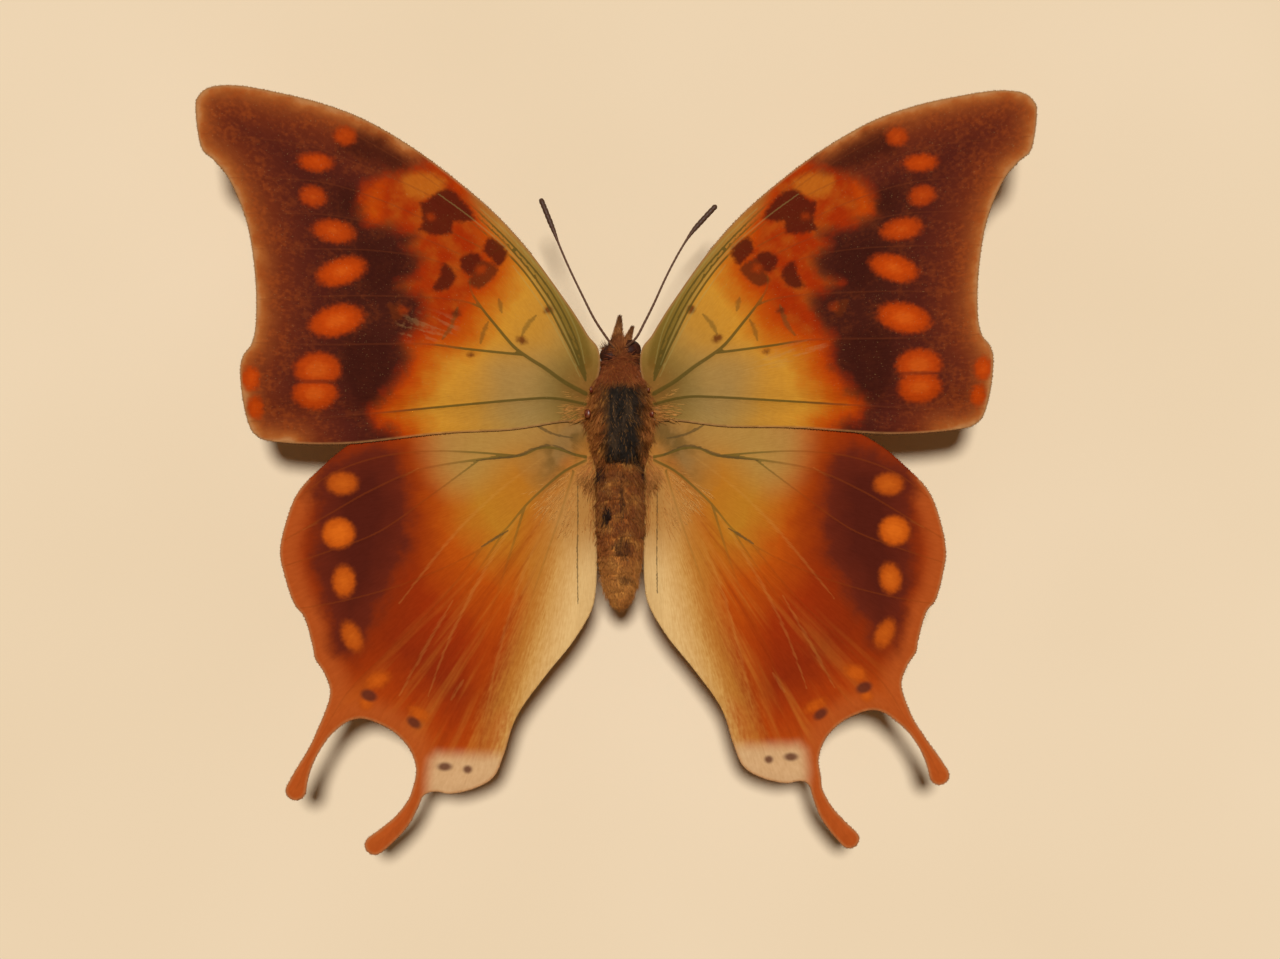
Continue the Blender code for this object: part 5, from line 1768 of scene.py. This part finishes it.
@dataclass(frozen=True)
class BodyFinishes:
    """Builds the materials of the body and its small parts."""

    colours: BodyColours = BodyColours()
    facet: float = 0.09
    ring_spacing: float = 0.5

    def hair(self, name: str, coat: bool) -> bpy.types.Material:
        """Rusty hair with the dark back stripe. The same marks are drawn on the skin below.

        Args:
            name: The material's name.
            coat: Whether it is on the locks, which vary one by one and darken towards their roots as painted
                shade.

        Returns:
            The material.
        """
        colours = self.colours
        shader = Shader(name)
        place = shader.vector("place")
        across, fore, height = shader.attribute("place")
        broad = shader.blotches(place, 1.5, 3.0)
        flecks = shader.blotches(place, 0.4)
        colour = shader.painted(
            colours.rust, (colours.rust_light, broad, 0.42, 0.66),
            (colours.rust_dark, flecks, 0.58, 0.42, 0.55),
        )
        front = shader.edge(fore, 0.6, -1.0, 0.42)
        colour = shader.lay(colour, colours.rust_dark, shader.step(fore, -8.6, -6.4), front)
        colour = shader.painted(
            colour,
            (colours.rust_light, fore, -8.6, -11.4, 0.5),
            (colours.underside, height, 11.0, 9.6, 0.8),
            (colours.collar, fore, 7.9, 8.9, 0.85, (broad, 1.2)),
        )
        out = shader.gap(across, 0.2)
        ragged = shader.nudged(fore, (flecks, 2.2))
        lines = shader.blotches(place, 0.5, stretch=(1.0, 0.14, 1.0))
        stripe = shader.painted(
            colours.stripe, (colours.stripe_light, lines, 0.5, 0.62),
            (colours.stripe_edge, out, 1.1, 1.7, 0.8),
        )
        colour = shader.lay(
            colour, stripe, shader.edge(out, 2.1, 1.6, 1.0, (flecks, 0.8)), shader.step(ragged, -0.3, 0.7),
            shader.step(ragged, 9.0, 7.8), shader.step(height, 12.3, 13.3),
        )
        beside = shader.combined(
            "MULTIPLY", shader.step(out, 1.9, 2.7), shader.step(fore, 9.4, 8.6),
            shader.edge(fore, 0.2, 1.4, 0.75),
        )
        beside = shader.combined("MAXIMUM", beside, shader.edge(out, 2.8, 3.4, 0.85))
        colour = shader.lay(colour, shader.painted(colours.flank, (colours.rust, broad, 0.4, 0.62)), beside)
        # Dark ovals on the back: painted shade in the waist folds, and dark patches and mottles of the hair
        for dark_oval in FOLD_SHADE_AND_DARK_MARKS:
            scale = (1 / dark_oval.half[0], 1 / dark_oval.half[1], 0.0)
            shift = (-dark_oval.at[0] / dark_oval.half[0], -dark_oval.at[1] / dark_oval.half[1], 0.0)
            laid = {"Vector": place, "Location": shift, "Scale": scale}
            off = shader.add("ShaderNodeMapping", laid).outputs[0]
            squares = shader.add("ShaderNodeVectorMath", {0: off, 1: off}, operation="DOT_PRODUCT")
            gap = squares.outputs["Value"]
            mark = shader.edge(gap, 1.3, 0.5, dark_oval.share, (flecks, 1.8))
            colour = shader.lay(colour, colours.dark_oval, mark, shader.step(height, 11.6, 12.4))
        crown = shader.shades(fore, 11.3, 12.6, ((0.0, colours.tuft_root), (1.0, colours.tuft)))
        colour = shader.painted(colour, (crown, fore, 11.1, 11.6, 0.9))
        temples = shader.edge(out, 0.7, 1.1, 0.85)
        colour = shader.lay(colour, colours.brow, shader.step(fore, 10.3, 11.0), temples)
        if not coat:
            return shader.finish(colour, 0.85, 0.08, flecks, 0.05)
        # Painted shade: each lock is darker towards its root, where the locks shade each other, and it also
        # varies by its own random number
        share, own, _ = shader.attribute("strand")
        shade = shader.combined(
            "ADD", shader.combined("MULTIPLY", own, 0.6), shader.combined("MULTIPLY", share, 0.4)
        )
        colour = shader.lay(colour, shader.shades(shade, 0.0, 1.0, colours.locks), 1.0, blend="MULTIPLY")
        return shader.finish(shader.painted(colour, (colours.rust_light, own, 0.86, 0.95, 0.3)), 0.6, 0.22)

    def wing_hair(self) -> bpy.types.Material:
        """Fine long hair over the wing bases, brown at the body and orange outwards, a little silky.

        Returns:
            The material.
        """
        shader = Shader("hair_wing_base")
        across, _, _ = shader.attribute("place")
        share, own, _ = shader.attribute("strand")
        out = shader.nudged(shader.gap(across, 0.0), (own, 1.6))
        colour = shader.shades(out, 2.6, 6.2, self.colours.silk)
        colour = shader.painted(colour, (self.colours.rust_light, own, 0.7, 0.9, 0.4))
        return shader.finish(shader.lay(colour, self.colours.silk_tip, share, 0.25), 0.55, 0.12)

    def eye(self) -> bpy.types.Material:
        """Dark compound eye, whose facets are too small to see singly and break the highlight.

        Returns:
            The material.
        """
        shader = Shader("eye_facets")
        place = shader.vector("place")
        facets = shader.add("ShaderNodeTexVoronoi", {"Vector": place, "Scale": 1.0 / self.facet})
        patches = shader.blotches(place, 0.5)
        colour = shader.painted(self.colours.eye, (self.colours.eye_shine, patches, 0.45, 0.7))
        return shader.finish(colour, 0.5, 0.12, facets.outputs["Distance"])

    def feeler(self) -> bpy.types.Material:
        """Dark horn of the feelers, ringed where the segments meet, and darker on the club.

        Returns:
            The material.
        """
        shader = Shader("horn_feeler")
        share, along, _ = shader.attribute("strand")
        turns = shader.combined("DIVIDE", along, self.ring_spacing)
        ring = shader.step(shader.add("ShaderNodeMath", {0: turns}, operation="FRACT").outputs[0], 0.78, 0.98)
        colour = shader.lay(self.colours.shaft, self.colours.shaft_ring, ring, 0.6)
        colour = shader.painted(colour, (self.colours.club, share, 0.72, 0.84, 0.8))
        return shader.finish(colour, 0.5, 0.3, ring)

    def limb(self) -> bpy.types.Material:
        """Tan scales of legs and palps, darker towards the feet.

        Returns:
            The material.
        """
        shader = Shader("scales_limb")
        share, _, _ = shader.attribute("strand")
        flecks = shader.blotches(shader.vector("place"), 0.22)
        colour = shader.painted(
            self.colours.limb, (self.colours.palp, flecks, 0.4, 0.62),
            (self.colours.limb_dark, share, 0.35, 1.0, 0.8),
        )
        return shader.finish(colour, 0.62, 0.2, flecks, 0.03)


# Small parts

# Stations of a leg, from the body outwards: (out, fore, height, radius)
FORELEG = [(0.95, 8.8, 9.6, 0.3), (1.1, 9.4, 8.3, 0.3), (1.15, 10.3, 8.3, 0.24), (1.05, 11.3, 8.9, 0.14)]
MIDLEG = [
    (1.5, 6.0, 9.4, 0.42), (1.7, 6.6, 8.2, 0.42), (2.5, 8.4, 7.3, 0.36), (2.9, 9.0, 6.8, 0.3),
    (2.8, 8.6, 6.2, 0.26), (2.4, 6.8, 5.8, 0.22), (2.0, 4.8, 5.5, 0.17), (1.8, 2.8, 5.4, 0.13),
]
HINDLEG = [
    (1.5, 3.2, 9.6, 0.42), (1.9, 2.6, 8.3, 0.42), (2.7, 0.8, 7.5, 0.36), (3.0, -0.2, 7.1, 0.3),
    (2.9, -1.4, 6.7, 0.26), (2.4, -3.6, 6.4, 0.22), (2.0, -5.8, 6.3, 0.17), (1.8, -7.6, 6.5, 0.13),
]
LEGS = {"foreleg": FORELEG, "midleg": MIDLEG, "hindleg": HINDLEG}
LEG_JOINTS = (0.3, 0.42, 0.62, 0.72, 0.81, 0.89, 0.95)

# Courses of the feelers and palps: (across, fore, height)
ANTENNA_L = [
    (-2.5, 14.7, 13.9), (-3.9, 17.4, 14.2), (-5.3, 20.3, 14.4), (-6.3, 22.6, 14.5), (-7.0, 24.4, 14.5),
    (-8.3, 27.6, 14.3),
]
ANTENNA_R = [
    (1.65, 13.0, 13.8), (2.6, 14.7, 13.9), (3.6, 16.7, 14.1), (4.6, 18.9, 14.3), (5.5, 20.7, 14.4),
    (6.45, 22.4, 14.5), (7.5, 24.0, 14.5), (8.8, 25.5, 14.4), (10.1, 26.9, 14.3),
]
PALP_L = [(-0.2, 12.3, 11.5), (-0.28, 13.05, 11.75), (-0.2, 13.8, 12.0), (-0.05, 15.25, 12.3)]
PALP_R = [(0.6, 12.3, 11.5), (0.85, 13.05, 11.75), (1.0, 13.5, 12.0), (1.25, 14.15, 12.25)]

# The hinge's plates: (out, fore, height), and half extents
HINGE_PLATES = (((3.35, 5.1, 14.3), (0.34, 0.5, 0.22)), ((3.0, 7.6, 14.5), (0.2, 0.34, 0.16)))


def head_point(across: float, fore: float, height: float) -> np.ndarray:
    """A place on the head, turned and placed as the head is."""
    placed = Matrix.Translation(HEAD_AT) @ Matrix.Rotation(HEAD_TURN, 4, "Z")
    return np.array(placed @ Vector((across, fore, height)))


def tube(path: np.ndarray, radii: np.ndarray, sides: int) -> Shape:
    """A closed tube that carries how far along it each point is.

    Args:
        path: Its middle line.
        radii: A radius at each point of the line.
        sides: Points round it.

    Returns:
        The tube, with "strand" as share, length along and radius.
    """
    shape = lathe(tube_rings(path, radii, sides))
    along = np.concatenate([[0.0], np.cumsum(np.linalg.norm(np.diff(path, axis=0), axis=1))])
    rows = np.stack([along / along[-1], along, radii], -1)
    shape.carried["strand"] = np.vstack([np.repeat(rows, sides, axis=0), rows[0], rows[-1]])
    return shape


def joined(shapes: Sequence[Shape]) -> Shape:
    """Joins several meshes that carry the same things into one.

    Args:
        shapes: The meshes.

    Returns:
        One mesh of them all.
    """
    starts = np.cumsum([0, *(len(s.points) for s in shapes[:-1])])
    return Shape(
        np.vstack([s.points for s in shapes]),
        np.vstack([s.faces + start for s, start in zip(shapes, starts)]),
        {key: np.vstack([s.carried[key] for s in shapes]) for key in shapes[0].carried},
    )


@dataclass
class SmallParts:
    """Eyes, feelers, palps, tongue, legs and hinge plates."""

    finishes: BodyFinishes
    shaft_radius: float = 0.135
    club_swell: float = 0.17
    shaft_taper: float = 0.02
    coil_radius: float = 0.16
    coil_growth: float = 0.5
    coil_at: tuple = (0.05, 11.9, 9.65)
    coil_top: tuple = (0.05, 11.9, 10.95)

    def __post_init__(self) -> None:
        """Makes the materials that the parts share."""
        self.eye_finish = self.finishes.eye()
        self.feeler_finish = self.finishes.feeler()
        self.limb_finish = self.finishes.limb()
        self.plate_finish = SCLERITE.build()

    def eye(self, side: Side) -> None:
        """One compound eye, a dome set into the side of the head."""
        angles = np.linspace(0, 2 * math.pi, 48, endpoint=False)
        rings = []
        for turn in np.linspace(0.02, math.pi * 0.62, 22):
            out = side.sign * (EYE_OUT + EYE_RADIUS * math.cos(turn))
            radius = EYE_RADIUS * math.sin(turn)
            rings.append([
                head_point(out, 0.05 + 0.9 * radius * math.cos(a), radius * math.sin(a)) for a in angles
            ])
        dome = lathe(np.array(rings)).object(f"eye_{side.name}_dome", self.eye_finish)
        dress(dome, "eye", f"eye_{side.name}")

    def feeler(self, side: Side, path: Points) -> None:
        """One feeler: a thin ringed shaft that swells into a long club.

        Args:
            side: Which side it is on.
            path: Its middle line, after its root on the head.
        """
        root = head_point(side.sign * 0.45, 0.35, 1.0)
        line = spline([tuple(root), *path], 0.09)
        share = np.linspace(0, 1, len(line))
        along = share * np.linalg.norm(np.diff(line, axis=0), axis=1).sum()
        radii = self.shaft_radius + self.club_swell * smooth(0.7, 0.86, share)
        radii -= self.shaft_taper * smooth(0.1, 0.5, share)
        radii *= 1 - 0.1 * (np.cos(2 * math.pi * along / self.finishes.ring_spacing) > 0.6)
        radii *= np.sqrt(np.clip(1 - (np.clip(share - 0.975, 0, None) / 0.026) ** 2, 0.03, 1))
        radii[:6] *= np.linspace(1.8, 1.05, 6)
        node = f"antenna_{side.name}"
        dress(tube(line, radii, 12).object(node + "_shaft", self.feeler_finish), "feeler", node)

    def palp(self, side: Side, path: Points, root: float) -> None:
        """One palp, a scaly cone ahead of the face, with its covering of flat hair.

        Args:
            side: Which side it is on.
            path: Its middle line.
            root: Its half width where it leaves the face.
        """
        line = spline(path, 0.12)
        radii = root * (1 - np.linspace(0, 1, len(line))) ** 0.8 + 0.06
        node = f"palp_{side.name}"
        dress(tube(line, radii, 20).object(node + "_core", self.limb_finish), LIMB_SLOT, node)
        self.scaled(line, radii, 1100, 0.45, 0.026, 0.3, 300 + side.right, node + "_scales")

    def scaled(self, line: np.ndarray, radii: np.ndarray, count: int, length: float, width: float,
               lift: float, seed: int, name: str) -> None:
        """Covers a limb with flat scales or spines that point to its tip.

        Args:
            line: The limb's middle line.
            radii: Its radius along the line.
            count: How many there are.
            length: Their length.
            width: Their half width.
            lift: How far their tips stand off.
            seed: A number of the piece's own.
            name: The piece's name.
        """
        rng = random_rows(seed)
        sides = 24
        rings = tube_rings(line, radii, sides)
        i, j = rng.integers(0, len(line) - 1, count), rng.integers(0, sides, count)
        roots = rings[i, j]
        lies = unit(line[i + 1] - line[i]) + rng.normal(0, 0.15, (count, 3))
        shape = Tufts(
            roots, unit(roots - line[i]), lies, length * rng.uniform(0.6, 1.2, count), np.full(count, width),
            np.full(count, lift), np.stack([j / sides, i / len(line)], -1) * 0.98, seed + 1, 0.4, 2, 0.01,
        ).shape()
        each = len(shape.points) // count
        shape.carried["strand"] = np.repeat(np.stack([i / len(line), i * 0.1, radii[i]], -1), each, axis=0)
        dress(shape.object(name, self.limb_finish), LIMB_SLOT)

    def leg(self, kind: str, side: Side, stations: Points, seed: int) -> None:
        """One folded leg with its joints and spines, tapering to its tip.

        Args:
            kind: The leg's name.
            side: Which side it is on.
            stations: Its stations on the left side, each with a radius.
            seed: A number of the leg's own.
        """
        curve = spline([(side.sign * out, *rest) for out, *rest in stations], 0.14)
        line, radii = curve[:, :3], curve[:, 3].copy()
        share = np.linspace(0, 1, len(line))
        for joint in LEG_JOINTS:
            radii *= 1 - 0.28 * np.exp(-(((share - joint) / 0.012) ** 2))
        radii[-3:] *= (0.9, 0.7, 0.4)
        node = f"{kind}_{side.name}"
        dress(tube(line, radii, 14).object(node + "_core", self.limb_finish), LIMB_SLOT, node)
        self.scaled(line, radii, 420, 0.2, 0.022, 0.18, seed, node + "_scales")
        lower = slice(len(line) // 2, None)
        self.scaled(line[lower], radii[lower], 26, 0.34, 0.018, 0.8, seed + 3, node + "_spines")

    def tongue(self) -> None:
        """The coiled tongue under the face, two and a half turns of a thin tube."""
        turns = np.linspace(0, 5 * math.pi, 140)
        radius = self.coil_radius + self.coil_growth * turns / turns[-1]
        coil = np.stack([
            0.04 * np.sin(turns / 2), radius * np.cos(turns + math.pi / 2),
            radius * np.sin(turns + math.pi / 2),
        ], -1) + self.coil_at
        line = np.vstack([coil, np.linspace(coil[-1], self.coil_top, 14)[1:]])
        radii = np.linspace(0.08, 0.13, len(line))
        dress(tube(line, radii, 12).object("tongue_coil", self.feeler_finish), "feeler", "proboscis")

    def hinge(self, side: Side) -> None:
        """The small hard plates where a forewing joins the thorax, smaller on the right."""
        size = 0.7 if side.right else 1.0
        angles = np.linspace(0, 2 * math.pi, 20, endpoint=False)
        shapes = []
        for (out, fore, height), extents in HINGE_PLATES:
            half = [size * extent for extent in extents]
            bumps = 1 + 0.12 * np.sin(angles * 3 + out * 9)
            shapes.append(lathe(np.array([
                np.stack(np.broadcast_arrays(
                    side.sign * out + half[0] * math.sin(turn) * np.cos(angles) * bumps,
                    fore + half[1] * math.cos(turn),
                    height + half[2] * math.sin(turn) * np.sin(angles) * bumps,
                ), -1)
                for turn in np.linspace(0.05, math.pi - 0.05, 10)
            ])))
        dress(joined(shapes).object(f"hinge_{side.name}_plates", self.plate_finish), THORAX_SLOT)

    def build(self) -> None:
        """Builds every small part on both sides."""
        for side, feeler, palp, root in ((LEFT, ANTENNA_L, PALP_L, 0.72), (RIGHT, ANTENNA_R, PALP_R, 0.4)):
            self.eye(side)
            self.feeler(side, feeler)
            self.palp(side, palp, root)
            self.hinge(side)
            for number, (kind, stations) in enumerate(LEGS.items()):
                self.leg(kind, side, stations, 400 + number * 20 + side.right * 10)
        self.tongue()


@dataclass(frozen=True)
class Stand:
    """The builder's own stand: a turned round base, and a thin rod with a small flange up to the thorax."""

    base: tuple = (
        (11.6, 0.0), (11.85, 0.12), (12.0, 0.4), (12.0, 1.9), (11.9, 2.2), (11.6, 2.42), (11.2, 2.5),
    )
    rod: tuple = (
        (1.6, 2.45), (1.6, 2.7), (1.5, 2.82), (0.9, 2.86), (0.75, 3.0), (0.75, 7.9), (0.65, 8.3), (0.3, 8.6),
    )
    rod_fore: float = 4.8
    base_sides: int = 128
    rod_sides: int = 40

    def turned(self, node: str, profile: Points, fore: float, sides: int, slot: str, finish: TwoTone) -> None:
        """A turned shape.

        Args:
            node: The solid that it replaces.
            profile: Its outline as (radius, height), from the bottom; flat at both ends.
            fore: Where its axis stands.
            sides: Points round it.
            slot: The record's material slot.
            finish: Its finish.
        """
        angles = np.linspace(0, 2 * math.pi, sides, endpoint=False)
        rings = np.array([
            np.stack([r * np.cos(angles), fore + r * np.sin(angles), np.full(sides, z)], -1)
            for r, z in profile
        ])
        dress(lathe(rings).object(node + "_turned", finish.build()), slot, node)

    def build(self) -> None:
        """Builds the base and the rod."""
        self.turned("stand_base", self.base, 0.0, self.base_sides, "base_paint", STAND_PAINT)
        self.turned("stand_rod", self.rod, self.rod_fore, self.rod_sides, "rod_steel", ROD_STEEL)


# The wings together

FORE_BASE_HAIR = BaseHair(420, (0.6, 6.2), (2.2, 5.4), (-36.0, 30.0), 1.7, 1.8)
HIND_BASE_HAIR = BaseHair(1100, (1.6, 1.6), (1.0, 9.5), (-84.0, -30.0), 2.6, 1.8)
FINE_STEP = 0.24


@dataclass
class WingSet:
    """Both pairs of wings, with their fringes and the hair of their bases."""

    hair: bpy.types.Material
    fore_root: tuple = (3.2, 7.5)
    hind_root: tuple = (3.2, 0.5)

    def kinds(self) -> tuple:
        """What each pair shares.

        Returns:
            The forewings' kind and the hindwings'.
        """
        finishes = WingFinishes()
        step = FINE_STEP
        tails = [*ribbon(OUTER_TAIL, OUTER_TAIL_HALF), *TAIL_BAY, *ribbon(INNER_TAIL, INNER_TAIL_HALF)]
        hind_outline = [*HIND_COSTA, *tails, *HIND_LOBE]
        hind_lines = [DASHED_LINE, DASHED_LINE_RIGHT, *DARK_SCRATCHES, *PALE_STREAKS]
        fore_plan = WingPlan(FORE_OUTLINE, FORE_VEINS, [*FORE_PAINTED_HIGHLIGHTS, *CELL_LINES], self.fore_root, step)
        hind_plan = WingPlan(hind_outline, HIND_VEINS, hind_lines, self.hind_root, step)
        return (
            WingKind("forewing", fore_plan, fore_placed, fore_height, forewing_marks, FORE_BASE_HAIR,
                     finishes.forewing_upper(), finishes.forewing_under()),
            WingKind("hindwing", hind_plan, hind_placed, hind_height, hindwing_marks, HIND_BASE_HAIR,
                     finishes.hindwing_upper(), finishes.hindwing_under()),
        )

    def build(self) -> None:
        """Builds the four wings."""
        for number, kind in enumerate(self.kinds()):
            for side in (LEFT, RIGHT):
                wing = Wing(kind, side, number * 2 + side.right + 1)
                dress(wing.membrane(), f"{kind.name}_scales", f"{kind.name}_{side.name}")
                dress(wing.fringe(), f"{kind.name}_scales")
                dress(wing.base_hair(self.hair), THORAX_SLOT)


# Stage and camera

@dataclass(frozen=True)
class Stage:
    """A plain pale floor under a soft lamp, seen from straight above as in the photo."""

    floor_light: str = "#F0DBBA"
    floor_dark: str = "#EBD5B2"
    floor_half: float = 400.0
    floor_blotch: float = 60.0
    floor_roughness: float = 0.9
    lamp_tilt: float = math.radians(-11.6)
    lamp_spread: float = math.radians(9.0)
    lamp_energy: float = 2.82
    shade_colour: str = "#5C4936"
    shade_strength: float = 1.0
    camera_at: tuple = (2.1, -1.8, 237.5)
    lens: float = 60.0
    sensor: float = 36.0
    nearest: float = 0.01

    def floor(self) -> bpy.types.Object:
        """Builds the floor, a sheet of matt paper with faint broad blotches.

        Returns:
            The floor.
        """
        half = self.floor_half
        corners = np.array([(-half, -half, 0.0), (half, -half, 0.0), (half, half, 0.0), (-half, half, 0.0)])
        paper = Shader("paper_floor")
        tint = paper.blotches(paper.vector("place"), self.floor_blotch)
        colour = paper.shades(tint, 0.3, 0.7, ((0.0, self.floor_dark), (1.0, self.floor_light)))
        finish = paper.finish(colour, self.floor_roughness, 0.5)
        return Shape(corners, np.array([(0, 1, 2), (0, 2, 3)]), {"place": corners}).object("floor", finish)

    def build(self) -> None:
        """Adds the floor, the lamp, the surrounding light and the camera."""
        self.floor()
        scene = bpy.context.scene
        lamp_data = bpy.data.lights.new("soft_lamp", "SUN")
        lamp_data.energy = self.lamp_energy
        lamp_data.angle = self.lamp_spread
        lamp = bpy.data.objects.new("soft_lamp", lamp_data)
        lamp.rotation_euler = (self.lamp_tilt, 0.0, 0.0)
        camera_data = bpy.data.cameras.new("camera")
        camera_data.lens = self.lens
        camera_data.sensor_width = self.sensor
        camera_data.clip_start = self.nearest
        camera = bpy.data.objects.new("camera", camera_data)
        camera.location = Vector(self.camera_at) * MM
        for thing in (lamp, camera):
            scene.collection.objects.link(thing)
        scene.camera = camera
        scene.world = bpy.data.worlds.new("surrounding_light")
        scene.world.use_nodes = True
        background = scene.world.node_tree.nodes["Background"]
        background.inputs["Color"].default_value = linear(self.shade_colour)
        background.inputs["Strength"].default_value = self.shade_strength
        scene.view_settings.view_transform = "Standard"


def main() -> None:
    """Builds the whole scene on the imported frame."""
    logging.basicConfig(level=logging.INFO, format="%(message)s")
    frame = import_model()
    LOG.info("%d nodes of the frame to dress", len(frame["nodes"]))
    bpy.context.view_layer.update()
    finishes = BodyFinishes()
    locks = finishes.hair("hair_rusty", True)
    Trunk().build(finishes.hair("skin_under_hair", False), locks)
    SmallParts(finishes).build()
    Stand().build()
    WingSet(finishes.wing_hair()).build()
    Stage().build()


if __name__ == "__main__":
    main()
